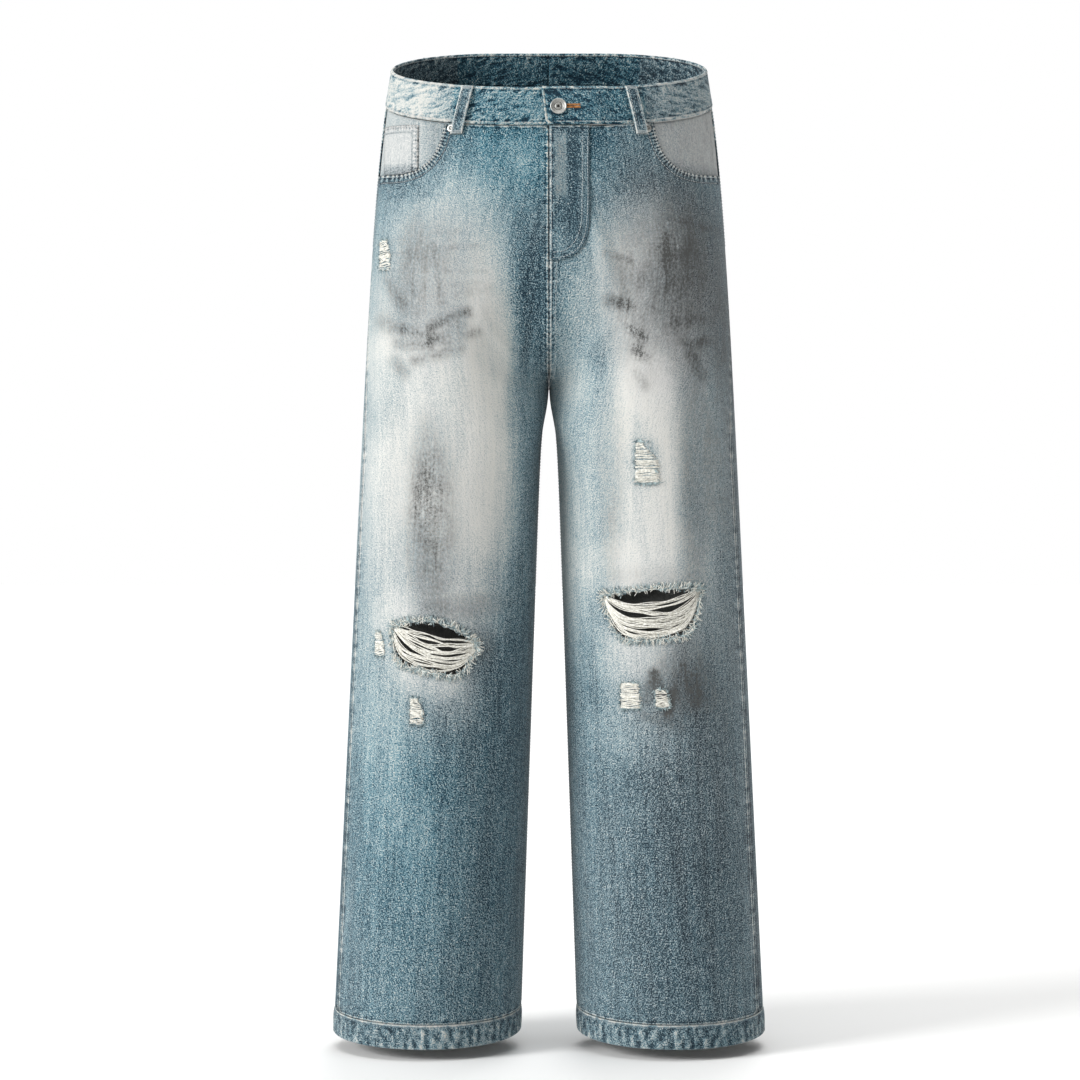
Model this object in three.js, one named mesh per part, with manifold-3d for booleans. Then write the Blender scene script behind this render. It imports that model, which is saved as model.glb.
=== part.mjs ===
// Wide-leg five-pocket jeans with ripped knees, filled out as if worn, with nobody in them.
// Millimetres, +Z up, the front faces -Y. The origin is the middle of the waist, level with the
// top edge of the waistband at the side seams. The wearer's right leg is on -X.
import * as THREE from "three";
import { mergeVertices } from "three/addons/utils/BufferGeometryUtils.js";
import Module from "manifold-3d";

const wasm = await Module();
wasm.setup();

// ---- driving dimensions ----
const OUTSEAM = 1026; // side length, waistband and hem included
const WAISTBAND = 40; // finished height of the waistband
const HEM = 25; // finished height of the turned-up hem
const RISE = 335; // side of the waist down to the crotch point
const DENIM = 1.4; // one layer of cloth
const BAND_THICK = 3; // two layers of the waistband with its turnings
const HEM_THICK = 3.2; // three layers at the hem
const GAP = 0.3; // between sewn pieces
const BAND_PROUD = 0.8; // the waistband and the hem stand this far out of the panels
const RIGHT = -1; // the wearer's right, on -X
const LEFT = 1;

// ---- the worn form: one half of the jeans as a ring of four quarter ellipses at each height ----
// Depths in front of and behind the side plane, from the waist (height 0) down to the hem.
const PROFILE = {
  height: [0, -60, -120, -200, -300, -400, -600, -800, -OUTSEAM],
  front: [92, 104, 112, 117, 117, 113, 106, 101, 97],
  back: [94, 113, 130, 142, 136, 119, 106, 99, 93],
};
const SIDE_FLARE = 0.0476; // the leg's outer edge runs out this much per millimetre down
const WAIST_NIP = 13.3; // the waist is this much narrower than the flare alone gives
const TILT = 0.36; // the waist is higher at the back: rise per millimetre of depth
const TILT_ENDS = 260;
const HEM_DROP = 0.05; // the hem's front hangs lower by this much per millimetre of depth
const SIDE_DEPTH = 4; // the outermost point of the ring lies this far behind the side plane

const clamp01 = (t) => Math.min(1, Math.max(0, t));
const smooth = (t) => clamp01(t) ** 2 * (3 - 2 * clamp01(t));
const between = (h, from, to) => smooth((h - from) / (to - from));
const radians = (degrees) => (degrees * Math.PI) / 180;

// Smooth curve through the profile's stations.
function profileAt(values, h) {
  const at = PROFILE.height;
  const last = at.length - 2;
  let i = at.findIndex((top, k) => k <= last && h <= top && h >= at[k + 1]);
  if (i < 0) i = h > 0 ? 0 : last;
  const slope = (k) => {
    const a = Math.max(k - 1, 0);
    const b = Math.min(k + 1, last + 1);
    return (values[b] - values[a]) / (at[b] - at[a]);
  };
  const step = at[i + 1] - at[i];
  const t = (h - at[i]) / step;
  const rise = values[i + 1] - values[i];
  const bend = t * (1 - t) * step;
  const turn = (slope(i) - rise / step) * (1 - t) - (slope(i + 1) - rise / step) * t;
  return values[i] + rise * t + bend * turn;
}

// A row of the cloth is named by its height at the side, h. The rows rise towards the crotch:
// the centre seams bend under it between these rows, and the inseam takes over at the last.
const BEND = { front: -190, back: -185, crotch: -400 };

const outerEdge = (h) => 181.3 - SIDE_FLARE * h - WAIST_NIP * Math.exp(h / 100);
const seatShare = (h) => between(h, 0, -RISE);

// How far down the inseam a row ends: level with the crotch at first, then catching up.
function downInseam(h) {
  const v = Math.max(0, BEND.crotch - h);
  const lag = BEND.crotch + RISE;
  return v - lag * (1 - Math.exp(-v / 150)) - (1 - lag / 150) * v * Math.exp(-v / 40);
}

// The inseam leaves the middle plane quickly and then runs out slowly.
const innerEdge = (h) =>
  GAP / 2 + 0.034 * downInseam(h) + 7 * (1 - Math.exp(-downInseam(h) / 30));

// Where a row meets the centre seam: how far back it has gone, 0 to 1, and how high it lies.
function centreSeam(h, start) {
  const t = clamp01((start - h) / (start - BEND.crotch));
  const turn = radians(90) * (0.9 * t + 1.2 * t ** 2 - 1.1 * t ** 3);
  const height = start - (start + RISE) * Math.sin(turn) - downInseam(h);
  return { back: 1 - Math.cos(turn), lift: h < start ? height - h : 0 };
}

function section(h) {
  const front = profileAt(PROFILE.front, h);
  const back = profileAt(PROFILE.back, h);
  const outer = outerEdge(h);
  const inner = innerEdge(h);
  const legMiddle = (outer + inner) / 2;
  const frontSeam = centreSeam(h, BEND.front);
  const backSeam = centreSeam(h, BEND.back);
  return {
    front,
    back,
    outer,
    inner,
    apex: 25 + (legMiddle - 25) * seatShare(h),
    seat: 55 + (legMiddle - 55) * seatShare(h),
    innerFront: -front + (front + SIDE_DEPTH) * frontSeam.back,
    innerBack: back - (back - SIDE_DEPTH) * backSeam.back,
    liftFront: frontSeam.lift,
    liftBack: backSeam.lift,
    parted: between(h, BEND.crotch + 130, BEND.crotch),
    tilt: TILT * (1 - between(h, 0, -TILT_ENDS)) + HEM_DROP * between(h, -800, -OUTSEAM),
  };
}

// From the middle plane out to the front or the back of the leg: a level S curve above the
// crotch, which turns into a quarter ellipse as the legs part.
function innerQuarter(share, parted) {
  const turn = radians(90 * share);
  return {
    across: share + (1 - Math.cos(turn) - share) * parted,
    out: smooth(share) + (Math.sin(turn) - smooth(share)) * parted,
    lift: (1 - Math.sin(turn)) ** 2,
  };
}

// The largest folds: ridges and troughs down the legs, as {side, angle, half-width, height, ends}.
const FOLDS = [
  { side: RIGHT, angle: 138, half: 20, out: 5, top: -170, bottom: -610 },
  { side: LEFT, angle: 126, half: 20, out: -4, top: -300, bottom: -600 },
  { side: LEFT, angle: 72, half: 20, out: 3, top: -90, bottom: -330 },
  { side: RIGHT, angle: 222, half: 22, out: 5, top: -330, bottom: -700 },
  { side: LEFT, angle: 250, half: 22, out: 4, top: -330, bottom: -760 },
];

function foldAt(side, angle, h) {
  let out = 0;
  for (const f of FOLDS) {
    if (f.side !== side || h > f.top || h < f.bottom) continue;
    const across = smooth(1 - Math.abs(angle - f.angle) / f.half);
    const along = Math.sin((Math.PI * (f.top - h)) / (f.top - f.bottom));
    out += f.out * across * along ** 0.7;
  }
  return out;
}

// A point of the cloth's outer face. The angle runs from 0 at the centre front or inseam, over
// 90 at the front, 180 at the side and 270 at the back, to 360 at the centre back or inseam.
function clothPoint(side, angle, h) {
  const s = section(h);
  const turn = radians(angle);
  let x;
  let y;
  let z = h;
  if (angle < 90) {
    const q = innerQuarter(angle / 90, s.parted);
    x = s.inner + (s.apex - s.inner) * q.across;
    y = s.innerFront - (s.front + s.innerFront) * q.out;
    z += s.liftFront * q.lift;
  } else if (angle < 180) {
    x = s.apex - (s.outer - s.apex) * Math.cos(turn);
    y = SIDE_DEPTH - (s.front + SIDE_DEPTH) * Math.sin(turn);
  } else if (angle < 270) {
    x = s.seat - (s.outer - s.seat) * Math.cos(turn);
    y = SIDE_DEPTH - (s.back - SIDE_DEPTH) * Math.sin(turn);
  } else {
    const q = innerQuarter((360 - angle) / 90, s.parted);
    x = s.inner + (s.seat - s.inner) * q.across;
    y = s.innerBack + (s.back - s.innerBack) * q.out;
    z += s.liftBack * q.lift;
  }
  const out = foldAt(side, angle, h);
  if (out) {
    const away = new THREE.Vector2(x - s.apex, y).normalize();
    x += away.x * out;
    y += away.y * out;
  }
  return new THREE.Vector3(side * x, y, z + s.tilt * y);
}

// The outward normal, from short steps along the ring and down the cloth.
function clothNormal(side, angle, h) {
  const low = Math.max(0, angle - 4);
  const high = Math.min(360, angle + 4);
  const round = clothPoint(side, high, h).sub(clothPoint(side, low, h));
  const down = clothPoint(side, angle, h - 2).sub(clothPoint(side, angle, h + 2));
  return down.cross(round).multiplyScalar(side).normalize();
}

const spot = (side, angle, h) => ({
  at: clothPoint(side, angle, h),
  out: clothNormal(side, angle, h),
});

// The side seam lies on the side at the hip and moves to the front down the leg.
const seamAngle = (side, h) => 176 - (side === RIGHT ? 15 : 20) * between(h, -170, -430);

// Angles that part the ring from one angle to another into equal lengths of cloth.
function evenAngles(side, from, to, h, parts) {
  const steps = 72;
  const angles = Array.from({ length: steps + 1 }, (_, i) => from + ((to - from) * i) / steps);
  const runs = [0];
  angles.forEach((a, i) => {
    if (i === 0) return;
    const length = clothPoint(side, a, h).distanceTo(clothPoint(side, angles[i - 1], h));
    runs.push(runs[i - 1] + length);
  });
  return Array.from({ length: parts + 1 }, (_, k) => {
    const want = (runs[steps] * k) / parts;
    const i = Math.min(steps, Math.max(1, runs.findIndex((r) => r >= want - 1e-6)));
    const share = (want - runs[i - 1]) / (runs[i] - runs[i - 1] || 1);
    return angles[i - 1] + (angles[i] - angles[i - 1]) * share;
  });
}

// ---- solids ----
// A closed wall over a grid of spots, from one distance off the cloth's face to another.
// moved(row, column) shifts both faces out there, and a ring joins its last column to its first.
function wall(grid, inside, outside, ring = false, moved = () => 0) {
  const rows = grid.length;
  const columns = grid[0].length;
  const points = [];
  for (const off of [outside, inside])
    grid.forEach((row, r) =>
      row.forEach((s, c) =>
        points.push(...s.at.clone().addScaledVector(s.out, off + moved(r, c)).toArray()),
      ),
    );
  const layer = rows * columns;
  const index = (face, r, c) => face * layer + r * columns + (c % columns);
  const faces = [];
  const quad = (a, b, c, d) => faces.push(a, b, c, a, c, d);
  const spans = ring ? columns : columns - 1;
  for (let c = 0; c < spans; c++) {
    for (let r = 0; r + 1 < rows; r++) {
      quad(index(0, r, c), index(0, r + 1, c), index(0, r + 1, c + 1), index(0, r, c + 1));
      quad(index(1, r, c), index(1, r, c + 1), index(1, r + 1, c + 1), index(1, r + 1, c));
    }
    quad(index(0, 0, c), index(0, 0, c + 1), index(1, 0, c + 1), index(1, 0, c));
    const e = rows - 1;
    quad(index(0, e, c), index(1, e, c), index(1, e, c + 1), index(0, e, c + 1));
  }
  if (!ring)
    for (let r = 0; r + 1 < rows; r++) {
      const e = columns - 1;
      quad(index(0, r, 0), index(1, r, 0), index(1, r + 1, 0), index(0, r + 1, 0));
      quad(index(0, r, e), index(0, r + 1, e), index(1, r + 1, e), index(1, r, e));
    }
  const geometry = new THREE.BufferGeometry();
  geometry.setAttribute("position", new THREE.Float32BufferAttribute(points, 3));
  geometry.setIndex(faces);
  return geometry;
}

function toSolid(geometry) {
  const bare = geometry.clone();
  bare.deleteAttribute("normal");
  bare.deleteAttribute("uv");
  const merged = mergeVertices(bare, 1e-4);
  const triVerts = new Uint32Array(merged.index.array);
  const make = () =>
    new wasm.Manifold(
      new wasm.Mesh({
        numProp: 3,
        vertProperties: merged.attributes.position.array,
        triVerts,
      }),
    );
  const made = make();
  if (made.volume() >= 0) return made;
  for (let i = 0; i < triVerts.length; i += 3)
    [triVerts[i + 1], triVerts[i + 2]] = [triVerts[i + 2], triVerts[i + 1]];
  return make();
}

function toGeometry(solid) {
  const mesh = solid.getMesh();
  const points = new Float32Array(mesh.numVert * 3);
  for (let i = 0; i < mesh.numVert; i++) {
    const start = i * mesh.numProp;
    points.set(mesh.vertProperties.subarray(start, start + 3), i * 3);
  }
  const geometry = new THREE.BufferGeometry();
  geometry.setAttribute("position", new THREE.BufferAttribute(points, 3));
  geometry.setIndex(new THREE.BufferAttribute(mesh.triVerts, 1));
  geometry.computeVertexNormals();
  return geometry;
}

// An outline drawn in X and Z, as a prism through the front of the jeans or through the back.
const REACH = { front: [-200, 0], back: [-20, 200] };

function prism(shape, [near, far]) {
  const geometry = new THREE.ExtrudeGeometry(shape, {
    depth: far - near,
    bevelEnabled: false,
    curveSegments: 8,
  });
  geometry.rotateX(Math.PI / 2);
  geometry.translate(0, far, 0);
  return toSolid(geometry);
}

// The rows of a leg panel: close together round the crotch, wide apart down the leg.
const PANEL_ROWS = [
  -WAISTBAND - 0.5, -75, -110, -150, -190, -220, -250, -280, -305, -330, -350, -368, -385,
  BEND.crotch, -415, -435, -460, -490, -530, -580, -630, -680, -730, -780, -830, -880, -930,
  -970, -OUTSEAM + HEM + GAP,
];

function panelGrid(side, isFront, rows, parts) {
  return rows.map((h) => {
    const seam = seamAngle(side, h);
    const gapAngle = (GAP / 2 / 100) * (180 / Math.PI);
    const from = isFront ? 0 : seam + gapAngle;
    const to = isFront ? seam - gapAngle : 360;
    const angles = evenAngles(side, from, to, h, parts);
    return angles.map((a) => (a % 360 ? spot(side, a, h) : seamSpot(side, a, h)));
  });
}

// A spot on the inseam, half a gap from the other panel of the leg, or on the centre seam, where
// the wall's inner face must not cross to the other leg.
function seamSpot(side, angle, h) {
  const { at, out } = spot(side, angle, h);
  if (h <= BEND.crotch) at.y += angle === 0 ? -GAP / 2 : GAP / 2;
  else out.setX(side * Math.min(0, side * out.x)).normalize();
  return { at, out };
}

// ---- outlines of the sewn-on pieces, in X and Z, drawn for the wearer's left (+X) ----
function outline(points) {
  const shape = new THREE.Shape();
  shape.moveTo(...points[0]);
  points.slice(1).forEach((p) => {
    if (p.length === 2) shape.lineTo(...p);
    else shape.bezierCurveTo(...p);
  });
  return shape;
}

const mirrored = (points, side) =>
  side === LEFT ? points : points.map((p) => p.map((v, i) => (i % 2 ? v : -v)));

// The front pocket's mouth, from the waistband round to the side seam, grown by a margin.
const pocketMouth = (grow) => [
  [108.5 - grow, -20],
  [108.5 - grow, -64],
  [112 - grow, -104 - 0.6 * grow, 132 - 0.6 * grow, -134 - grow, 186, -114 - grow],
  [260, -114 - grow],
  [260, -20],
];
const COIN_POCKET = [
  [136.5, -69],
  [260, -58],
  [260, -160],
  [137.5, -160],
];
const FLY = [
  [-5, -60],
  [42, -60],
  [39.5, -170],
  [38.5, -190, 28, -208, 13, -214],
  [-5, -215],
];
const YOKE = [
  [-5, -88],
  [-5, 80],
  [260, 80],
  [260, -72],
];
const BACK_POCKET = [
  [32, -118],
  [161, -111],
  [151, -238],
  [97, -263],
  [43, -244],
];

// A rip: a nearly straight upper edge and a sagging lower edge, as a lens of a width and drop.
// Its local axes turn by lean. The threads fill it up to a sagging line of their own.
const RIPS = {
  [RIGHT]: { x: -118, z: -603, half: 46, drop: 36, arch: 15, lean: -12, threads: 10 },
  [LEFT]: { x: 106, z: -557, half: 51, drop: 48, arch: 3, lean: 4, threads: 22 },
};

function ripOutline(rip, upper, lower, half) {
  const turn = radians(rip.lean);
  const place = (u, w) => [
    rip.x + u * Math.cos(turn) - w * Math.sin(turn),
    rip.z + u * Math.sin(turn) + w * Math.cos(turn),
  ];
  const steps = 10;
  const points = [];
  for (let i = 0; i <= steps; i++) {
    const u = -half + (2 * half * i) / steps;
    points.push(place(u, upper * (1 - (u / half) ** 2)));
  }
  for (let i = steps - 1; i > 0; i--) {
    const u = -half + (2 * half * i) / steps;
    points.push(place(u, lower * (1 - (u / half) ** 6)));
  }
  return outline(points);
}

// ---- materials ----
const material = (color, roughness, metalness = 0) =>
  new THREE.MeshStandardMaterial({ color, roughness, metalness });
const denim = material(0x8fa3ae, 0.9);
const paleDenim = material(0xc3cbcc, 0.9);
const bandDenim = material(0x7c919d, 0.9);
const hemDenim = material(0x5c6f79, 0.92);
const threads = material(0xe0ddd0, 0.95);
const metal = material(0xb9b9b4, 0.35, 0.9);

const jeans = new THREE.Group();

function addPiece(name, geometry, finish) {
  const mesh = new THREE.Mesh(geometry, finish);
  mesh.name = name;
  jeans.add(mesh);
  return mesh;
}

const sideName = (side) => (side === RIGHT ? "right" : "left");
const PARTS = { front: 10, back: 11 };

// ---- leg panels, with the pocket mouth and the knee rip cut out of each front ----
function addFront(side) {
  const grid = panelGrid(side, true, PANEL_ROWS, PARTS.front);
  const rip = RIPS[side];
  const cloth = toSolid(wall(grid, -DENIM, 0))
    .subtract(prism(outline(mirrored(pocketMouth(0), side)), REACH.front))
    .subtract(prism(ripOutline(rip, rip.arch, -rip.drop, rip.half), REACH.front));
  addPiece(`front_${sideName(side)}`, toGeometry(cloth), denim);

  // The loose weft threads fill the lower part of the rip.
  const inset = 0.6;
  const fill = toSolid(wall(grid, -DENIM + 0.2, -0.2)).intersect(
    prism(ripOutline(rip, -rip.threads, -rip.drop + inset, rip.half - inset), REACH.front),
  );
  addPiece(`rip_threads_${sideName(side)}`, toGeometry(fill), threads);

  // The pocket's facing lies behind the front panel and shows in the mouth.
  const facingRows = PANEL_ROWS.filter((h) => h >= -150);
  const facingGrid = panelGrid(side, true, facingRows, PARTS.front);
  const behind = -DENIM - GAP;
  const facing = toSolid(wall(facingGrid, behind - DENIM, behind)).intersect(
    prism(outline(mirrored(pocketMouth(20), side)), REACH.front),
  );
  addPiece(`pocket_facing_${sideName(side)}`, toGeometry(facing), paleDenim);
  return { grid, facingGrid, behind };
}

function addBack(side) {
  const grid = panelGrid(side, false, PANEL_ROWS, PARTS.back);
  const cloth = toSolid(wall(grid, -DENIM, 0));
  const yoke = prism(outline(mirrored(YOKE, side)), REACH.back);
  const lowered = YOKE.map(([x, z]) => [x, z - GAP]);
  const above = prism(outline(mirrored(lowered, side)), REACH.back);
  addPiece(`back_${sideName(side)}`, toGeometry(cloth.subtract(above)), denim);
  addPiece(`yoke_${sideName(side)}`, toGeometry(cloth.intersect(yoke)), bandDenim);
  const pocket = toSolid(wall(grid, GAP, GAP + DENIM)).intersect(
    prism(outline(mirrored(BACK_POCKET, side)), REACH.back),
  );
  addPiece(`back_pocket_${sideName(side)}`, toGeometry(pocket), denim);
}

const fronts = { [RIGHT]: addFront(RIGHT), [LEFT]: addFront(LEFT) };
addBack(RIGHT);
addBack(LEFT);

const flyCloth = toSolid(wall(fronts[LEFT].grid, GAP, GAP + 1.1));
addPiece("fly", toGeometry(flyCloth.intersect(prism(outline(FLY), REACH.front))), denim);

// The coin pocket lies on the right facing and goes down to just above the pocket mouth.
const onFacing = fronts[RIGHT].behind + GAP;
const coin = toSolid(wall(fronts[RIGHT].facingGrid, onFacing, onFacing + 1.2))
  .intersect(prism(outline(mirrored(COIN_POCKET, RIGHT)), REACH.front))
  .intersect(prism(outline(mirrored(pocketMouth(-0.7), RIGHT)), REACH.front));
addPiece("coin_pocket", toGeometry(coin), paleDenim);

// ---- hems: a ring at the foot of each leg ----
function addHem(side) {
  const grid = [-OUTSEAM + HEM, -OUTSEAM + HEM / 2, -OUTSEAM].map((h) =>
    evenAngles(side, 0, 360, h, 24)
      .slice(0, -1)
      .map((a) => spot(side, a, h)),
  );
  const cloth = wall(grid, BAND_PROUD - HEM_THICK, BAND_PROUD, true);
  addPiece(`hem_${sideName(side)}`, toGeometry(toSolid(cloth)), hemDenim);
}
addHem(RIGHT);
addHem(LEFT);

// ---- waistband: two halves joined at the centre back, the left end lapped over the right ----
const LAP = { under: 38, over: -8, clearTo: 44, settledAt: 72 };

// The angle at which the front of the ring is a distance from the middle plane.
function frontAngle(distance, h) {
  let low = 0;
  let high = 175;
  for (let i = 0; i < 30; i++) {
    const middle = (low + high) / 2;
    if (Math.abs(clothPoint(LEFT, middle, h).x) < distance) low = middle;
    else high = middle;
  }
  return (low + high) / 2;
}

function addWaistband(side) {
  const reach = side === RIGHT ? LAP.under : -LAP.over;
  const rows = [0, -WAISTBAND / 2, -WAISTBAND];
  const grid = rows.map((h) => {
    const own = evenAngles(side, 360, frontAngle(4, h), h, 34).map((a) => spot(side, a, h));
    own[0].at.x = (side * GAP) / 2;
    const beyond = [0.4, 0.7, 1].map((t) => spot(-side, frontAngle(reach * t, h), h));
    return [...own, ...beyond];
  });
  const lap = (r, c) => {
    if (side === RIGHT || grid[r][c].at.y > 0) return 0;
    return (BAND_THICK + GAP) * (1 - between(grid[r][c].at.x, LAP.clearTo, LAP.settledAt));
  };
  const cloth = wall(grid, BAND_PROUD - BAND_THICK, BAND_PROUD, false, lap);
  addPiece(`waistband_${sideName(side)}`, toGeometry(toSolid(cloth)), bandDenim);
}
addWaistband(RIGHT);
addWaistband(LEFT);

// ---- belt loops: straps bowed over the waistband, both ends lying flat on it ----
const LOOP = { width: 13, thick: 1.6, bow: 3.2, above: 1.5, below: 13 };

function addBeltLoop(name, side, topAngle, lowAngle) {
  const steps = 8;
  const grid = [];
  for (let i = 0; i <= steps; i++) {
    const t = i / steps;
    const h = -LOOP.above - (WAISTBAND + LOOP.below - LOOP.above) * t;
    const angle = topAngle + (lowAngle - topAngle) * t;
    const { at, out } = spot(side, angle, h);
    const bow = BAND_PROUD + GAP + LOOP.bow * Math.sin(Math.PI * t) ** 0.6;
    const across = new THREE.Vector3(-out.y, out.x, 0).normalize();
    const centre = at.addScaledVector(out, bow);
    grid.push(
      [-0.5, 0.5].map((k) => ({
        at: centre.clone().addScaledVector(across, k * LOOP.width),
        out,
      })),
    );
  }
  addPiece(name, toGeometry(toSolid(wall(grid, 0, LOOP.thick))), bandDenim);
}
const LOOP_FRONT = { top: frontAngle(84, 0), low: frontAngle(94, -WAISTBAND) };
for (const side of [RIGHT, LEFT]) {
  addBeltLoop(`belt_loop_front_${sideName(side)}`, side, LOOP_FRONT.top, LOOP_FRONT.low);
  addBeltLoop(`belt_loop_back_${sideName(side)}`, side, 228, 228);
}
addBeltLoop("belt_loop_back_centre", LEFT, 360, 360);

// ---- button and rivets, turned about the cloth's normal ----
function addTurned(name, profile, { at, out }, off) {
  const geometry = new THREE.LatheGeometry(
    profile.map(([r, y]) => new THREE.Vector2(r, y)),
    24,
  );
  const mesh = addPiece(name, toGeometry(toSolid(geometry)), metal);
  mesh.position.copy(at.clone().addScaledVector(out, off));
  mesh.quaternion.setFromUnitVectors(new THREE.Vector3(0, 1, 0), out);
}

const BUTTON = [
  [0, 0], [5, 0], [5.4, 0.8], [8.1, 1.2], [8.5, 2], [8.1, 2.8], [6.6, 3.2],
  [5.2, 2.8], [4.6, 1.8], [2.2, 1.6], [1.9, 2.4], [0, 2.6],
];
const RIVET = [
  [0, 0], [4.5, 0], [4.4, 0.5], [3.4, 1.1], [2.2, 1.1], [1.8, 0.8], [0.9, 1], [0, 1.1],
];
const lapHeight = BAND_THICK + GAP + BAND_PROUD;
addTurned("waist_button", BUTTON, spot(LEFT, frontAngle(9.5, -22), -22), lapHeight + GAP + 0.3);
for (const side of [RIGHT, LEFT])
  addTurned(`rivet_${sideName(side)}`, RIVET, spot(side, frontAngle(102, -46.5), -46.5), GAP + 0.2);

export default jeans;
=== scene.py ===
# Wide-leg ripped jeans, filled out as if worn, with nobody in them.
import math
import bpy
import numpy as np
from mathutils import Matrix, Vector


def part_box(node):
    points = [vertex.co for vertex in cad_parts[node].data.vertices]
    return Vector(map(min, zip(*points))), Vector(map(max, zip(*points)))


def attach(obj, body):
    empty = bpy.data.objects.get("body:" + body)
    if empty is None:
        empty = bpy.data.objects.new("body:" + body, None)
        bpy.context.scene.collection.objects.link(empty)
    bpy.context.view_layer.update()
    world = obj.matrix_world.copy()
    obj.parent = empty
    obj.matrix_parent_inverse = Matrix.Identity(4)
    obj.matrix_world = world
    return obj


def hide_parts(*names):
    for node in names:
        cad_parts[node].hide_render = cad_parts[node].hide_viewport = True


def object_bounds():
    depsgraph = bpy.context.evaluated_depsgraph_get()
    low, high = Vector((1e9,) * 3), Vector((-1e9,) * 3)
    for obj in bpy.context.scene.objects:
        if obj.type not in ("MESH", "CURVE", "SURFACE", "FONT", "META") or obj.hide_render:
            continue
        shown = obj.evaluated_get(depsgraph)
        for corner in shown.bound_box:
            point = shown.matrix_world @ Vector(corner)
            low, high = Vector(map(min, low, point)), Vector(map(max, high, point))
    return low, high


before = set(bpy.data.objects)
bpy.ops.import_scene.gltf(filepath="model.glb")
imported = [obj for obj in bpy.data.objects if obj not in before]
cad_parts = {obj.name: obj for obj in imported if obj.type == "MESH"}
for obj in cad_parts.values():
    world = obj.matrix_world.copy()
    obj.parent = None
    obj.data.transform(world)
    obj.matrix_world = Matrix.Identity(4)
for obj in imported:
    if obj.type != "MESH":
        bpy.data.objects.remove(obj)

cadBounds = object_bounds()
rng = np.random.default_rng(11)
right, left = -1, 1  # the wearer's right leg is on -X
sideNames = {right: "right", left: "left"}

# the worn form
# Millimetres. A row of the cloth is named by its height at the side, from 0 at the waistband's
# top edge. Rows rise towards the crotch, where the centre seams bend under.
form = {
    "rows": [0, -60, -120, -200, -300, -400, -600, -800, -1026],
    "front": [92, 104, 112, 117, 117, 113, 106, 101, 97],
    "back": [94, 113, 130, 142, 136, 119, 106, 99, 93],
    "outseam": 1026,
    "rise": 335,
    "waistband": 40,
    "hem": 25,
    "sideFlare": 0.0476,
    "waistNip": 13.3,
    "tilt": 0.36,
    "tiltEnds": -260,
    "hemDrop": 0.05,
    "sideDepth": 4,
    "frontBend": -190,
    "backBend": -185,
    "crotchRow": -400,
    "gap": 0.3,
    "panelTop": -40.5,
    "panelFoot": -1000.7,
}

# Ridges and troughs: side, angle, half width in degrees, height in mm, top and bottom rows.
folds = [
    (right, 138, 20, 5, -170, -610),
    (left, 126, 20, -4, -300, -600),
    (left, 72, 20, 3, -90, -330),
    (right, 222, 22, 5, -330, -700),
    (left, 250, 22, 4, -330, -760),
]

# Finer creases: side, then the angle and row of each end, half width in mm, height in mm.
creases = [
    (right, 25, -330, 78, -262, 9, 1.6),
    (right, 20, -362, 92, -318, 11, 1.4),
    (left, 22, -326, 84, -256, 9, 1.6),
    (left, 18, -356, 96, -330, 11, 1.5),
    (right, 104, -632, 148, -600, 10, 1.5),
    (left, 60, -592, 20, -640, 10, 1.4),
    (left, 118, -640, 152, -700, 12, 1.6),
    (right, 70, -668, 28, -742, 12, 1.6),
    (right, 118, -760, 96, -930, 14, -1.8),
    (left, 66, -740, 84, -940, 14, -1.6),
    (right, 150, -840, 128, -960, 12, 1.5),
    (left, 132, -820, 150, -950, 12, 1.5),
    (right, 236, -560, 318, -600, 9, 2.2),
    (right, 226, -590, 306, -628, 8, 2.0),
    (right, 232, -640, 300, -650, 9, 1.7),
    (left, 240, -552, 316, -588, 9, 2.2),
    (left, 228, -588, 304, -622, 8, 2.0),
    (left, 236, -636, 310, -652, 9, 1.7),
    (right, 262, -345, 338, -312, 10, 2.2),
    (right, 250, -372, 332, -352, 10, 1.8),
    (left, 262, -340, 338, -315, 10, 2.2),
    (left, 252, -376, 330, -350, 10, 1.8),
    (right, 262, -760, 286, -960, 15, -2.0),
    (left, 280, -740, 258, -950, 15, -2.0),
    (right, 196, -300, 214, -420, 10, 1.8),
    (left, 198, -280, 216, -430, 10, 1.8),
]


# A soft step from 0 to 1: three times the square less twice the cube.
def smooth(t):
    t = np.clip(t, 0, 1)
    return t * t * (3 - 2 * t)


# The value a share t of the way from a to b.
def lerp(a, b, t):
    return a + (b - a) * t


# A soft step from 0 at the start to 1 at the end.
def between(h, start, end):
    return smooth((h - start) / (end - start))


# A bell: e to the minus square of a distance in half widths.
def bell(away, half):
    return np.exp(-((away / half) ** 2))


# A depth at each row: a cubic between stations, with the neighbours' slope at its ends.
def depthAt(values, h):
    at, v = -np.array(form["rows"], float), np.array(values, float)
    k = np.arange(len(at))
    low, high = np.maximum(k - 1, 0), np.minimum(k + 1, len(at) - 1)
    slope = (v[high] - v[low]) / (at[high] - at[low])
    i = np.clip(np.searchsorted(at, -h, side="right") - 1, 0, len(at) - 2)
    step, rise = at[i + 1] - at[i], v[i + 1] - v[i]
    t = (-h - at[i]) / step
    turn = (slope[i] - rise / step) * (1 - t) - (slope[i + 1] - rise / step) * t
    return v[i] + rise * t + t * (1 - t) * step * turn


# How far down the inseam a row ends: level with the crotch at first, then catching up.
def downInseam(h):
    v = np.maximum(0, form["crotchRow"] - h)
    lag = form["crotchRow"] + form["rise"]
    return v - lag * (1 - np.exp(-v / 150)) - (1 - lag / 150) * v * np.exp(-v / 40)


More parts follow.
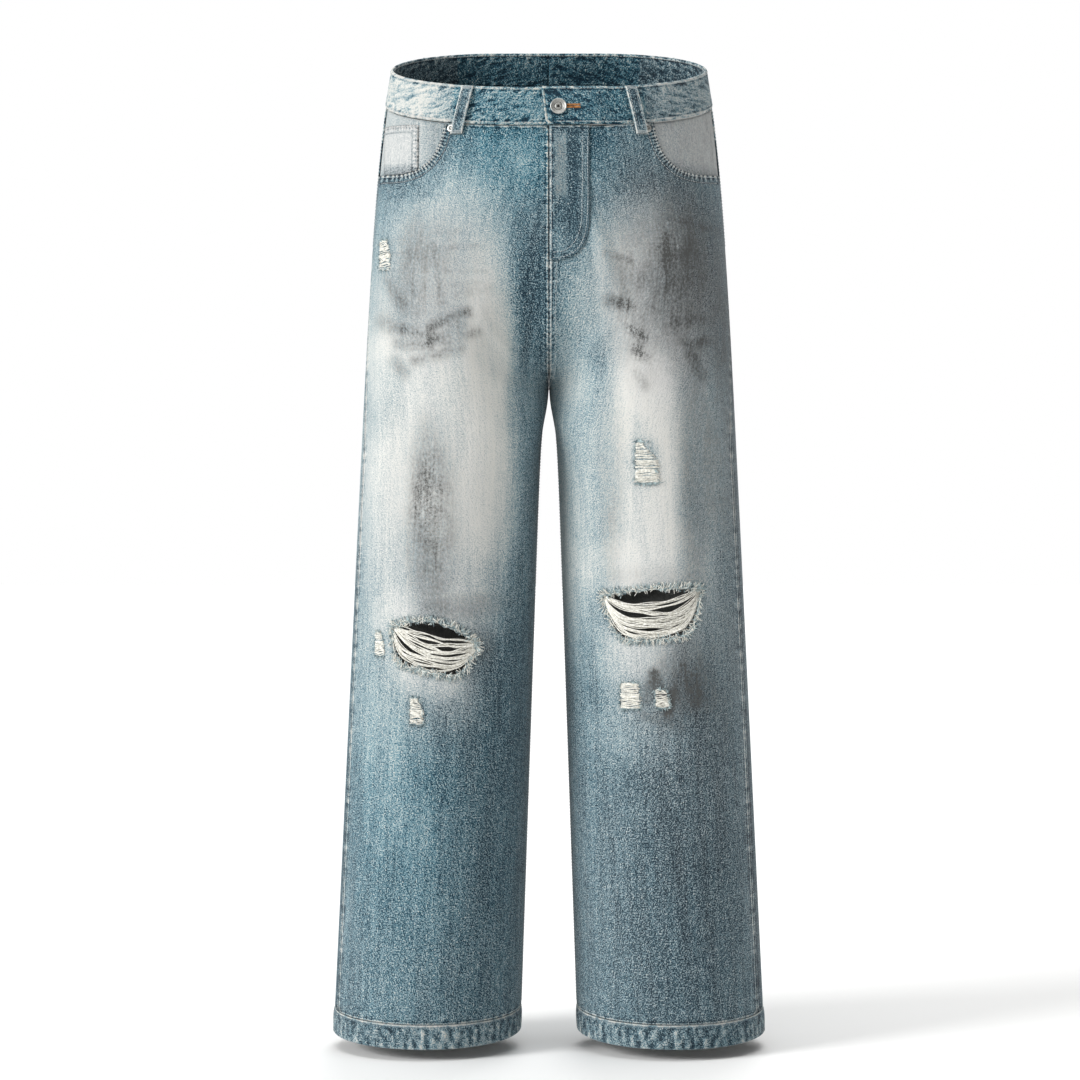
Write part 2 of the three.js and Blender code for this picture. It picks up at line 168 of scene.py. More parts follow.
# Where a row meets the centre seam: how far back it has gone, 0 to 1, and its lift.
def centreSeam(h, start):
    t = np.clip((start - h) / (start - form["crotchRow"]), 0, 1)
    turn = math.pi / 2 * (0.9 * t + 1.2 * t**2 - 1.1 * t**3)
    height = start - (start + form["rise"]) * np.sin(turn) - downInseam(h)
    return 1 - np.cos(turn), np.where(h < start, height - h, 0)


# How far folds and creases move the cloth out. A fold is a soft ridge at an angle; a crease is a
# bell across the line between its ends. Both rise and fall along their length as a sine.
def foldAt(side, angle, h):
    out = np.zeros(angle.shape)
    for foldSide, at, half, height, top, bottom in folds:
        if foldSide == side:
            along = np.sin(math.pi * np.clip((top - h) / (top - bottom), 0, 1)) ** 0.7
            out += height * smooth(1 - np.abs(angle - at) / half) * along
    for creaseSide, a0, h0, a1, h1, half, height in creases:
        if creaseSide == side:
            s, s0, s1 = angle * 1.9, a0 * 1.9, a1 * 1.9  # about 1.9 mm of cloth per degree
            ds, dh = s1 - s0, h1 - h0
            t = ((s - s0) * ds + (h - h0) * dh) / (ds**2 + dh**2)
            away = np.hypot(s - s0 - t * ds, h - h0 - t * dh)
            inside = np.sin(math.pi * np.clip(t, 0, 1)) ** 0.8
            out += height * bell(away, half) * inside
    return out


# A point of the cloth's outer face. The angle runs from 0 at the centre front or inseam, over 90
# at the front, 180 at the side and 270 at the back, to 360 at the centre back or inseam. Each
# quarter of a row is a quarter ellipse; above the crotch the inner ones flatten to an S curve.
def clothPoint(side, angle, h):
    angle, h = np.broadcast_arrays(np.asarray(angle, float), np.asarray(h, float))
    isFront = angle < 180
    front, back = depthAt(form["front"], h), depthAt(form["back"], h)
    outer = 181.3 - form["sideFlare"] * h - form["waistNip"] * np.exp(h / 100)
    down = downInseam(h)
    inner = form["gap"] / 2 + 0.034 * down + 7 * (1 - np.exp(-down / 30))
    middle, seat = (outer + inner) / 2, between(h, 0, -form["rise"])
    start = np.where(isFront, 25.0, 55.0)
    middle = start + (middle - start) * seat
    backF, liftF = centreSeam(h, form["frontBend"])
    backB, liftB = centreSeam(h, form["backBend"])
    sideY = form["sideDepth"]
    deep = np.where(isFront, -front, back)
    innerY = np.where(isFront, -front + (front + sideY) * backF, back - (back - sideY) * backB)
    share = np.clip(np.where(isFront, angle, 360 - angle) / 90, 0, 1)
    turn, parted = share * math.pi / 2, between(h, form["crotchRow"] + 130, form["crotchRow"])
    across = share + (1 - np.cos(turn) - share) * parted
    out = smooth(share) + (np.sin(turn) - smooth(share)) * parted
    t = np.radians(angle)
    isInner = (angle < 90) | (angle > 270)
    x = np.where(isInner, inner + (middle - inner) * across, middle - (outer - middle) * np.cos(t))
    outerY = sideY + (deep - sideY) * np.abs(np.sin(t))
    y = np.where(isInner, innerY + (deep - innerY) * out, outerY)
    z = h + np.where(isInner, np.where(isFront, liftF, liftB) * (1 - np.sin(turn)) ** 2, 0)
    bulge = foldAt(side, angle, h)
    away = np.maximum(np.hypot(x - middle, y), 1)
    x, y = x + bulge * (x - middle) / away, y + bulge * y / away
    tilt = form["tilt"] * (1 - between(h, 0, form["tiltEnds"]))
    tilt = tilt + form["hemDrop"] * between(h, -800, -form["outseam"])
    return np.stack([side * x, y, z + tilt * y], axis=-1)


# The outward normal: the cross product of a step down the cloth and a step round it.
def clothNormal(side, angle, h):
    angle, h = np.broadcast_arrays(np.asarray(angle, float), np.asarray(h, float))
    turn = clothPoint(side, np.clip(angle + 1.5, 0, 360), h)
    turn = turn - clothPoint(side, np.clip(angle - 1.5, 0, 360), h)
    normal = np.cross(clothPoint(side, angle, h - 2) - clothPoint(side, angle, h + 2), turn) * side
    atCentre = ((angle < 0.01) | (angle > 359.99)) & (h > form["crotchRow"])
    inwards = side * np.minimum(0, side * normal[..., 0])
    normal[..., 0] = np.where(atCentre, inwards, normal[..., 0])
    return normal / np.linalg.norm(normal, axis=-1, keepdims=True)


# The cloth moved out along its normal.
def skin(side, angle, h, off=0.0):
    off = np.asarray(off, float)
    return clothPoint(side, angle, h) + clothNormal(side, angle, h) * off[..., None]


# The side seam lies on the side at the hip and moves to the front down the leg.
def seamAngle(side, h):
    return 176 - (15 if side == right else 20) * between(h, -170, -430)


# Angles that part each row from its start to its end into equal lengths of cloth.
def evenAngles(side, start, end, h, parts):
    t = np.linspace(0, 1, 121)
    angles = start[:, None] + (end - start)[:, None] * t
    steps = np.linalg.norm(np.diff(clothPoint(side, angles, h[:, None]), axis=1), axis=2)
    runs = np.concatenate([np.zeros((len(h), 1)), np.cumsum(steps, axis=1)], axis=1)
    want = np.linspace(0, 1, parts + 1)
    found = np.array([np.interp(want * run[-1], run, row) for run, row in zip(runs, angles)])
    return found, want * runs[:, -1:]


# The angle and row of the cloth that show at x and z: Newton's steps from the panel's middle.
def findOnCloth(side, x, z, atBack=False):
    x, z = np.broadcast_arrays(np.asarray(x, float), np.asarray(z, float))
    angle = np.full(x.shape, 270.0 if atBack else 90.0)
    h = z + (-40.0 if atBack else 35.0) * (z > -250)
    for _ in range(25):
        p = clothPoint(side, angle, h)
        pa = (clothPoint(side, angle + 0.5, h) - p) / 0.5
        ph = (clothPoint(side, angle, h + 0.5) - p) / 0.5
        ex, ez = x - p[..., 0], z - p[..., 2]
        det = pa[..., 0] * ph[..., 2] - ph[..., 0] * pa[..., 2]
        det = np.where(np.abs(det) < 0.05, np.sign(det + 1e-9) * 0.05, det)
        angle = angle + np.clip((ex * ph[..., 2] - ez * ph[..., 0]) / det, -12, 12)
        h = h + np.clip((ez * pa[..., 0] - ex * pa[..., 2]) / det, -30, 30)
        angle = np.clip(angle, 182, 360) if atBack else np.clip(angle, 0, 178)
    return angle, h


# meshes
# Faces of a grid with rows going down the cloth; a wrapped direction joins its last to its first.
# Corners number the unwrapped grid, so that a map can run on past the join.
def gridFaces(rows, columns, flip, wrapRows=False, wrapColumns=False):
    r, c = np.meshgrid(
        np.arange(rows - (not wrapRows)), np.arange(columns - (not wrapColumns)), indexing="ij"
    )
    r, c = r.ravel(), c.ravel()
    order = [(0, 0), (1, 0), (1, 1), (0, 1)]
    if flip:
        order = order[::-1]
    faces = np.stack([(r + i) % rows * columns + (c + j) % columns for i, j in order], axis=1)
    wide = columns + wrapColumns
    corners = np.stack([(r + i) * wide + (c + j) for i, j in order], axis=1)
    return faces, corners


clothShift = np.random.default_rng(19)  # each piece is cut from another place of the cloth


# A mesh from points in mm and faces. Maps hold lengths in mm, a pair for each point or, with
# corners given, for each corner; fields hold a number for each point.
def makeMesh(name, points, faces, materials, maps=None, corners=None, fields=None):
    mesh = bpy.data.meshes.new(name)
    mesh.from_pydata((np.reshape(points, (-1, 3)) * 0.001).tolist(), [], [list(f) for f in faces])
    order = np.concatenate([np.asarray(f) for f in (faces if corners is None else corners)])
    for mapName, values in (maps or {}).items():
        layer = mesh.uv_layers.new(name=mapName)
        flat = np.reshape(values, (-1, 2))[order] * 0.001
        if mapName == "cloth":
            flat = flat + clothShift.uniform(0, 3, 2)
        layer.data.foreach_set("uv", flat.astype(np.float32).ravel())
    for field, values in (fields or {}).items():
        layer = mesh.attributes.new(field, "FLOAT", "POINT")
        layer.data.foreach_set("value", np.ravel(values).astype(np.float32))
    for material in materials:
        mesh.materials.append(material)
    mesh.shade_smooth()
    mesh.validate()
    piece = bpy.data.objects.new(name, mesh)
    bpy.context.collection.objects.link(piece)
    return piece


# The garment is one body, so every piece rides it; nodes are the solids that a piece stands for.
def settle(piece, slot, *nodes):
    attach(piece, "root")
    if nodes:
        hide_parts(*nodes)
    return piece


# A wall of cloth: the outer face as given, thickened inwards, with the cloth's reverse inside.
def thicken(piece, thickness):
    wall = piece.modifiers.new("thickness", "SOLIDIFY")
    wall.thickness, wall.offset = thickness * 0.001, -1
    wall.material_offset = 1 if len(piece.data.materials) > 1 else 0
    wall.use_quality_normals = True
    return piece


# Threads: round tubes along many paths at once, each path an array of points, closed at the ends.
def tubes(paths, radius, sides=5):
    count, steps, _ = paths.shape
    along = np.gradient(paths, axis=1)
    along /= np.linalg.norm(along, axis=2, keepdims=True) + 1e-9
    across = np.cross(along, np.array([0.05, -1.0, 0.03]))
    across /= np.linalg.norm(across, axis=2, keepdims=True) + 1e-9
    third = np.cross(along, across)
    turn = np.linspace(0, 2 * math.pi, sides, endpoint=False)
    ring = across[:, :, None] * np.cos(turn)[:, None] + third[:, :, None] * np.sin(turn)[:, None]
    radius = np.broadcast_to(np.asarray(radius, float), (count, steps))
    points = paths[:, :, None] + ring * radius[:, :, None, None]
    i, s, k = np.meshgrid(np.arange(count), np.arange(steps - 1), np.arange(sides), indexing="ij")
    base = (i * steps + s) * sides
    after = base + (k + 1) % sides
    quads = np.stack([base + k, after, after + sides, base + sides + k], axis=-1)
    first = np.arange(count)[:, None] * steps * sides + np.arange(sides)
    faces = [*quads.reshape(-1, 4).tolist(), *first[:, ::-1].tolist()]
    faces += (first + (steps - 1) * sides).tolist()
    return points.reshape(-1, 3), faces


# Colours are sRGB hex, turned here to the linear values that shaders take.
def srgb(code):
    parts = [int(code[i : i + 2], 16) / 255 for i in (1, 3, 5)]
    return (*[v / 12.92 if v <= 0.04045 else ((v + 0.055) / 1.055) ** 2.4 for v in parts], 1)


# Adds a node with its settings. Each input, in order or by name, is a value to set, or a node or
# an output to link. Stops are a ramp's places and colours.
def addNode(tree, kind, inputs=(), stops=(), **settings):
    node = tree.nodes.new("ShaderNode" + kind)
    for name, value in settings.items():
        setattr(node, name, value)
    for key, value in inputs.items() if isinstance(inputs, dict) else enumerate(inputs):
        value = value.outputs[0] if isinstance(value, bpy.types.Node) else value
        if isinstance(value, bpy.types.NodeSocket):
            tree.links.new(value, node.inputs[key])
        else:
            node.inputs[key].default_value = value
    for i, (at, code) in enumerate(stops):
        element = node.color_ramp.elements[i] if i < 2 else node.color_ramp.elements.new(at)
        element.position, element.color = at, srgb(code)
    return node


# A sum: the base, plus each source times its amount.
def weigh(tree, base, *parts):
    for source, amount in parts:
        base = addNode(tree, "Math", (source, amount, base), operation="MULTIPLY_ADD")
    return base


# Noise on a map, about -1 to 1, with a scale per metre in each direction and a lean in degrees.
def mapNoise(tree, uv, across, along, detail, lean, spread):
    c, s = math.cos(math.radians(lean)), math.sin(math.radians(lean))
    rows = ((across * c, across * s, 0), (-along * s, along * c, 0))
    u, v = (
        addNode(tree, "VectorMath", (uv, row), operation="DOT_PRODUCT").outputs["Value"]
        for row in rows
    )
    at = addNode(tree, "CombineXYZ", (u, v))
    inputs = {"Vector": at, "Scale": 1.0, "Detail": detail, "Roughness": 0.6}
    return weigh(tree, -0.5 * spread, (addNode(tree, "TexNoise", inputs), spread))


# An empty material and its node tree.
def startMaterial(name):
    material = bpy.data.materials.new(name)
    material.use_nodes = True
    material.node_tree.nodes.clear()
    return material, material.node_tree


# The shader with its inputs, led to the output.
def finishMaterial(material, inputs):
    shader = addNode(material.node_tree, "BsdfPrincipled", inputs)
    addNode(material.node_tree, "OutputMaterial", (shader,))
    return material


# Washed cotton denim, a right-hand twill of indigo warp over white weft: where the wash took the
# indigo off it goes from slate blue to grey white, in streaks along the warp. The real twill pitch
# is 0.5 mm, too fine to show, so the grain is drawn at 1.2 mm and the twill line at 1.8 mm.
denim = {
    # across and along the warp per metre, detail, lean, spread
    "grain": (860, 700, 2.0, 0, 5.5),
    "speck": (360, 290, 2.0, 0, 5.0),
    "twill": (560, 150, 1.0, 28, 4.5),
    "slub": (400, 70, 2.0, 0, 4.5),
    "streak": (300, 14, 2.0, 0, 4.5),
    "broad": (70, 7, 2.0, 0, 4.0),
    "mottle": (60, 34, 2.0, 0, 4.0),
    "folded": (52, 120, 2.5, 18, 5.0),
    "ridges": (150, 50, 1.5, 24, 5.0),
    "weave": {"grain": 0.6, "speck": 0.05, "twill": 0.18, "slub": 0.12},
    "uneven": {"streak": 0.075, "broad": 0.07, "mottle": 0.045},
    "soil": {"streak": 0.4, "broad": 0.3, "mottle": 0.45, "speck": 0.45, "grain": 0.5},
    "relief": {"grain": 0.5, "twill": 0.5, "slub": 0.4},
    "pucker": 0.36,
    "rungs": 1400.0,  # radians per metre: a rung each 4.5 mm
    "stops": [
        (0, "#132733"), (1, "#d0cfc9"), (0.2, "#3c5764"), (0.42, "#6a8791"), (0.68, "#9eabad"),
    ],
    "dirt": "#4e4f4e",
}


# Denim: wash and painted shade plus noise give a place on the colours from blue to white, with
# dirt over it.
def makeDenim(name, crinkle=0.0):
    material, tree = startMaterial(name)
    uv, seam = (addNode(tree, "UVMap", uv_map=m) for m in ("cloth", "seam"))
    washAndShade, dirt, tint, pucker, twin, joinShade = (
        addNode(tree, "Attribute", attribute_name=n).outputs["Fac"]
        for n in ("washAndShade", "dirt", "tint", "pucker", "twin", "joinShade")
    )
    patterns = ("grain", "speck", "twill", "slub", "streak", "broad", "mottle", "folded")
    noise = {n: mapNoise(tree, uv, *denim[n]) for n in patterns}
    ridges = mapNoise(tree, seam, *denim["ridges"])
    along, away = addNode(tree, "SeparateXYZ", (seam,)).outputs[:2]

    def mixOf(base, key):
        return weigh(tree, base, *[(noise[n], amount) for n, amount in denim[key].items()])

    # The grain is strong where the warp is blue and faint where it has washed out.
    fade = weigh(tree, washAndShade, (mixOf(0.0, "weave"), weigh(tree, 1.05, (washAndShade, -0.72))))
    fade = mixOf(fade, "uneven")
    # Puckers slant across a seam. Between two rows of stitches they are a ladder.
    rungs = weigh(tree, 0.0, (along, denim["rungs"]), (ridges, 1.3))
    ladder = weigh(tree, 0.0, (addNode(tree, "Math", (rungs,), operation="SINE"), twin))
    ridges = weigh(tree, ridges, (ladder, 1.3))
    fade = weigh(tree, fade, (weigh(tree, 0.0, (ridges, pucker)), denim["pucker"]))
    # Crinkles wear pale along their crests and stay dark between them.
    depth = addNode(tree, "Math", (noise["folded"],), operation="ABSOLUTE")
    crest = weigh(tree, 0.4, (depth, -1.0))
    crinkled = weigh(tree, 0.0, (crest, weigh(tree, crinkle, (pucker, 0.22))))
    fade = weigh(tree, fade, (crinkled, 1.0))

    # A line along the seam: 1 at its distance from the edge in mm, 0 at a half width from there.
    def seamLine(at, half):
        off = addNode(tree, "Math", (weigh(tree, -at, (away, 1000.0)),), operation="ABSOLUTE")
        line = weigh(tree, 1.0, (off, -1 / half))
        line.use_clamp = True
        return line

    # Joined edges get a line of painted shade in the join; each edge wears pale on its fold, and
    # the cloth is drawn in along each row of stitches, with painted shade in that groove.
    rub = weigh(tree, 0.0, (seamLine(1.2, 1.5), pucker))
    shadedGrooves = weigh(
        tree, 0.0,
        (seamLine(3.2, 1.2), pucker), (seamLine(8.0, 1.2), twin), (seamLine(0.0, 1.1), joinShade),
    )
    fade = weigh(tree, fade, (rub, 0.5), (shadedGrooves, -0.3))
    colour = addNode(tree, "ValToRGB", (fade,), stops=denim["stops"])
    more = weigh(tree, weigh(tree, 1.0, (tint, 1.0)), (noise["broad"], 0.12))
    colour = addNode(tree, "HueSaturation", {"Color": colour, "Saturation": more})
    # Dirt catches on the raised threads, so it is broken up by the grain and the streaks.
    soil = weigh(tree, 0.0, (dirt, mixOf(0.95, "soil")))
    soil.use_clamp = True
    inputs = {0: soil, 6: colour, 7: srgb(denim["dirt"])}
    colour = addNode(tree, "Mix", inputs, data_type="RGBA").outputs[2]

    inputs = {"Strength": 0.6, "Distance": 0.00025, "Height": mixOf(0.0, "relief")}
    bump = addNode(tree, "Bump", inputs)
    puff = weigh(tree, 0.0, (weigh(tree, 0.0, (ridges, 0.7)), pucker), (rub, 1.0))
    puff = weigh(tree, puff, (crinkled, 1.2), (shadedGrooves, -0.7))
    inputs = {"Strength": 0.8, "Distance": 0.0011, "Height": puff, "Normal": bump}
    return finishMaterial(material, {
        "Base Color": colour, "Normal": addNode(tree, "Bump", inputs), "Roughness": 0.9,
        "Specular IOR Level": 0.2, "Sheen Weight": 0.1, "Sheen Roughness": 0.5,
    })


# The reverse of the denim, where the white weft shows: pale warm grey with a fine speckle.
reverse = {
    "grain": (800, 800, 2.0, 0, 4.5),
    "twill": (620, 150, 1.0, -28, 4.0),
    "stops": [(0, "#67696b"), (1, "#d2d1cc"), (0.5, "#a3a4a2")],
}


# The reverse: two noises give a place on its greys.
def makeReverse(name):
    material, tree = startMaterial(name)
    uv = addNode(tree, "UVMap", uv_map="cloth")
    grain, twill = (mapNoise(tree, uv, *reverse[n]) for n in ("grain", "twill"))
    fade = weigh(tree, 0.5, (grain, 0.2), (twill, 0.1))
    inputs = {"Strength": 0.5, "Distance": 0.0002, "Height": grain}
    return finishMaterial(material, {
        "Base Color": addNode(tree, "ValToRGB", (fade,), stops=reverse["stops"]),
        "Normal": addNode(tree, "Bump", inputs), "Roughness": 0.92,
        "Specular IOR Level": 0.2, "Sheen Weight": 0.1, "Sheen Roughness": 0.5,
    })


# Spun cotton yarn: a soft matt thread, twisted, with a slightly darker hollow between the plies.
def makeYarn(name, darkCode, lightCode, perMetre=500.0):
    material, tree = startMaterial(name)
    at = addNode(tree, "TexCoord").outputs["Object"]
    inputs = {"Vector": at, "Scale": perMetre, "Detail": 2.0, "Roughness": 0.6}
    noise = addNode(tree, "TexNoise", inputs)
    level = weigh(tree, 0.55 - 0.5 * 2.6, (noise, 2.6))
    stops = [(0, darkCode), (1, lightCode)]
    inputs = {"Strength": 0.5, "Distance": 0.0002, "Height": noise}
    return finishMaterial(material, {
        "Base Color": addNode(tree, "ValToRGB", (level,), stops=stops),
        "Normal": addNode(tree, "Bump", inputs), "Roughness": 0.85,
        "Specular IOR Level": 0.25, "Sheen Weight": 0.2, "Sheen Roughness": 0.4,
    })


# Nickel-plated brass, stamped and tumbled: bright rims, a dull film, dark grime in the hollows.
def makeNickel(name):
    material, tree = startMaterial(name)
    at = addNode(tree, "TexCoord").outputs["Object"]
    worn = addNode(tree, "Attribute", attribute_name="grime").outputs["Fac"]
    inputs = {"Vector": at, "Scale": 900.0, "Detail": 3.0, "Roughness": 0.6}
    noise = addNode(tree, "TexNoise", inputs)
    film = weigh(tree, worn, (weigh(tree, -0.5, (noise, 1.0)), 0.8))
    stops = [(0, "#c9c9c6"), (1, "#232220"), (0.45, "#94948f")]
    rough = weigh(tree, 0.38, (film, 0.25))
    rough.use_clamp = True
    inputs = {"Strength": 0.25, "Distance": 0.0002, "Height": noise}
    return finishMaterial(material, {
        "Base Color": addNode(tree, "ValToRGB", (film,), stops=stops), "Metallic": 1.0,
        "Roughness": rough, "Normal": addNode(tree, "Bump", inputs),
    })


fadedDenim = makeDenim("washed_indigo_denim")
crinkledDenim = makeDenim("crinkled_indigo_denim", 0.6)
ropedDenim = makeDenim("roped_indigo_denim", 0.12)
reverseDenim = makeReverse("denim_weft_side")
weftYarn = makeYarn("undyed_cotton_weft", "#c3c0b4", "#f6f5ee")
warpYarn = makeYarn("indigo_cotton_warp", "#2f4f59", "#c3d3d4", 240)
tonalThread = makeYarn("grey_topstitch_thread", "#7d8b92", "#c9cfcf")
# The hem's thread is dark as painted shade, in the sunk stitch line under the hem's edge.
shadedHemThread = makeYarn("shaded_hem_thread", "#33444f", "#71848f")
buttonholeThread = makeYarn("tan_buttonhole_thread", "#7a4a22", "#c98d50")
nickel = makeNickel("tumbled_nickel_plate")
print("materials made")

# the wash, with a few spots of painted shade and light: soft spots in the garment's own sizes
# Each spot: x, z, half width, half height, lean in degrees, amount. The wash is 0 where the cloth
# is still blue and 1 where it is white; a few marked spots are painted shade and light; the dirt
# is rubbed over it.
washAndShade = {
    "base": 0.26,
    right: [
        (-122, -420, 90, 165, 0, 0.66),
        (-112, -195, 74, 76, 0, 0.42),
        (-182, -290, 24, 75, 0, 0.32),
        (-172, -640, 40, 130, 0, 0.27),
        (-122, -632, 40, 38, 0, 0.36),
        (-96, -670, 24, 40, 0, 0.2),
        (-80, -580, 34, 34, 0, 0.2),
        (-160, -590, 30, 30, 0, 0.16),
        (-160, -870, 55, 170, 0, 0.06),
        (-60, -300, 27, 64, 0, 0.36),
        (-60, -440, 26, 130, 0, 0.22),
        (-14, -390, 22, 180, 0, -0.05),
        (-10, -235, 20, 50, 0, -0.1),
        (-46, -690, 40, 100, 0, -0.06),
        (-60, -120, 40, 40, 0, 0.1),
        (-128, -700, 14, 36, 0, 0.1),
        (-60, -250, 26, 56, 0, 0.2),
        (-176, -350, 26, 44, 0, -0.16),
        (-118, -400, 40, 44, 0, -0.1),
        (-142, -520, 30, 40, 0, -0.14),
        (-150, -800, 46, 40, 0, 0.07),
        (-56, -850, 20, 60, 0, -0.06),
        (-140, -300, 50, 20, 0, 0.08),
        (-60, -310, 24, 30, 0, 0.14),
        # painted light: paler where the crotch falls in shade
        (-16, -345, 16, 30, 0, 0.14),
        (-140, -140, 20, 14, 0, -0.12),
        (-100, -690, 20, 24, 0, -0.08),
        (-160, -100, 30, 40, 0, -0.12),
        (-50, -62, 42, 24, 0, -0.12),
        (-24, -104, 20, 24, 0, 0.12),
        # painted shade of the fold beside the fly
        (-30, -220, 12, 60, 0, -0.1),
    ],
    left: [
        (92, -430, 44, 140, 0, 0.68),
        (22, -430, 30, 200, 0, 0.3),
        (150, -430, 45, 150, 0, 0.34),
        (62, -245, 40, 60, 0, 0.28),
        (88, -615, 40, 58, 0, 0.34),
        (136, -530, 30, 50, 0, 0.22),
        (66, -535, 34, 34, 0, 0.26),
        (170, -600, 26, 60, 0, 0.12),
        (90, -700, 50, 36, 0, 0.14),
        (56, -770, 34, 230, 0, 0.06),
        (160, -860, 60, 180, 0, -0.06),
        (96, -185, 50, 40, 0, 0.24),
        (104, -260, 44, 90, 0, 0.26),
        (92, -340, 34, 30, 0, 0.12),
        (34, -130, 14, 70, 0, -0.12),
        (112, -600, 40, 60, 0, 0.16),
        (26, -520, 22, 90, 0, 0.14),
        (60, -600, 20, 44, 0, 0.08),
        (110, -430, 44, 60, 0, -0.1),
        (144, -500, 20, 50, 0, -0.1),
        (104, -662, 22, 20, 0, -0.1),
        (206, -640, 20, 60, 0, 0.06),
        (116, -850, 60, 140, 0, -0.06),
        (30, -340, 20, 26, 0, 0.12),
        (30, -76, 40, 30, 0, -0.12),
        (60, -440, 16, 40, 0, -0.08),
        # painted shadow of the left front belt loop
        (56, -58, 28, 14, 0, -0.12),
        # painted highlight along a fold ridge from the crotch
        (50, -190, 7, 90, 3, 0.13),
    ],
}
dirt = {
    right: [
        (-122, -492, 26, 96, 0, 0.46),
        (-122, -470, 46, 84, 0, 0.08),
        (-128, -430, 15, 60, 0, 0.14),
        (-138, -215, 20, 56, 0, 0.26),
        (-110, -232, 14, 60, 0, 0.14),
        (-112, -240, 60, 80, 0, 0.16),
        (-150, -270, 30, 40, 0, 0.1),
        (-84, -572, 42, 14, 6, 0.32),
        (-70, -610, 14, 22, 0, 0.28),
    ],
    left: [
        (160, -235, 50, 100, 0, 0.4),
        (96, -230, 50, 110, 0, 0.12),
        (134, -200, 26, 74, 0, 0.24),
        (96, -245, 42, 90, 0, 0.2),
        (88, -250, 16, 60, 0, 0.16),
        (186, -400, 20, 150, 0, 0.36),
        (152, -440, 18, 140, 0, 0.32),
        (64, -440, 14, 90, 0, 0.14),
        (66, -500, 12, 60, 0, 0.12),
        (138, -650, 34, 44, 0, 0.46),
        (180, -640, 26, 90, 0, 0.2),
        (104, -540, 44, 12, 0, 0.16),
    ],
}
# How much more or less blue than the rest the cloth is.
tints = {
    right: [
        (-36, -84, 62, 70, 0, 0.4), (-150, -790, 60, 150, 0, 0.18),
        (-125, -470, 80, 200, 0, -0.35), (-110, -620, 50, 90, 0, -0.3),
        (-115, -240, 60, 80, 0, -0.4),
    ],
    left: [
        (0, -90, 60, 70, 0, 0.3), (150, -470, 100, 330, 0, -0.3),
        (150, -880, 120, 180, 0, -0.18), (104, -610, 46, 90, 0, -0.25),
        (116, -240, 66, 120, 0, -0.5),
    ],
}
# Smudges: a stroke along a line from x, z to x, z, its half width and its amount.
smudges = {
    right: [
        (-168, -232, -150, -262, 8, 0.3), (-176, -275, -156, -285, 9, 0.3),
        (-150, -285, -118, -296, 7, 0.42), (-122, -283, -84, -268, 6, 0.45),
        (-128, -302, -88, -282, 5, 0.3), (-158, -300, -124, -303, 6, 0.35),
        (-108, -300, -72, -288, 5, 0.32), (-160, -318, -150, -330, 7, 0.35),
        (-140, -318, -92, -306, 6, 0.35), (-120, -200, -110, -260, 6, 0.25),
        (-145, -190, -140, -250, 5, 0.22), (-96, -250, -60, -244, 7, 0.14),
        (-172, -206, -74, -200, 3, 0.17), (-174, -222, -66, -227, 3, 0.15),
        (-170, -192, -90, -184, 3, 0.13), (-168, -246, -70, -238, 3, 0.15),
    ],
    left: [
        (58, -208, 84, -216, 5, 0.3), (62, -256, 82, -262, 8, 0.42),
        (84, -286, 98, -296, 7, 0.42), (90, -306, 98, -314, 7, 0.42),
        (108, -222, 150, -214, 8, 0.2), (118, -170, 180, -178, 7, 0.24),
        (128, -280, 160, -274, 7, 0.35), (140, -300, 166, -296, 7, 0.42),
        (146, -312, 156, -330, 8, 0.42), (100, -262, 130, -272, 6, 0.28),
        (90, -330, 98, -345, 6, 0.2), (84, -176, 170, -186, 3, 0.15),
        (92, -204, 176, -206, 3, 0.16), (96, -236, 178, -228, 3, 0.15),
        (106, -642, 100, -668, 6, 0.45), (108, -640, 122, -682, 6, 0.5),
        (122, -682, 138, -634, 6, 0.5), (138, -634, 152, -672, 7, 0.48),
        (150, -640, 156, -664, 6, 0.4), (96, -684, 138, -696, 6, 0.3),
    ],
}


# Soft spots: each adds its amount times e to the minus fourth power of the distance from its
# middle, in half widths and half heights.
def softSpots(x, z, spots, total):
    for sx, sz, halfWidth, halfHeight, lean, amount in spots:
        c, s = math.cos(math.radians(lean)), math.sin(math.radians(lean))
        u = ((x - sx) * c + (z - sz) * s) / halfWidth
        v = (-(x - sx) * s + (z - sz) * c) / halfHeight
        total = total + amount * np.exp(-((u * u + v * v) ** 2))
    return total


# Strokes: each a bell across the line between its ends, laid over what is there by the larger.
def strokes(x, z, lines, total):
    for x0, z0, x1, z1, half, amount in lines:
        dx, dz = x1 - x0, z1 - z0
        t = np.clip(((x - x0) * dx + (z - z0) * dz) / (dx * dx + dz * dz), 0, 1)
        away = np.hypot(x - x0 - t * dx, z - z0 - t * dz)
        total = np.maximum(total, 1.15 * amount * bell(away, half) + total * 0.7)
    return total


# The back is worn on the seat, down the thighs and in creases behind the knees.
backWash = [
    (88, -230, 62, 90, 0, 0.42), (118, -460, 60, 130, 0, 0.5), (120, -620, 44, 60, 0, 0.22),
    (170, -420, 36, 260, 0, 0.25), (60, -560, 20, 120, 0, 0.06), (125, -985, 90, 22, 0, 0.12),
    (14, -250, 18, 120, 0, -0.1),
]
backLines = [
    (66, -560, 146, -572, 9, 0.1), (62, -590, 136, -604, 9, 0.12), (74, -622, 150, -618, 8, 0.09),
    (58, -646, 116, -658, 8, 0.08), (52, -332, 114, -350, 9, 0.1), (66, -362, 126, -374, 8, 0.07),
]
backDirt = [(150, -330, 36, 60, 0, 0.2), (96, -500, 24, 90, 0, 0.22), (150, -660, 30, 60, 0, 0.18)]
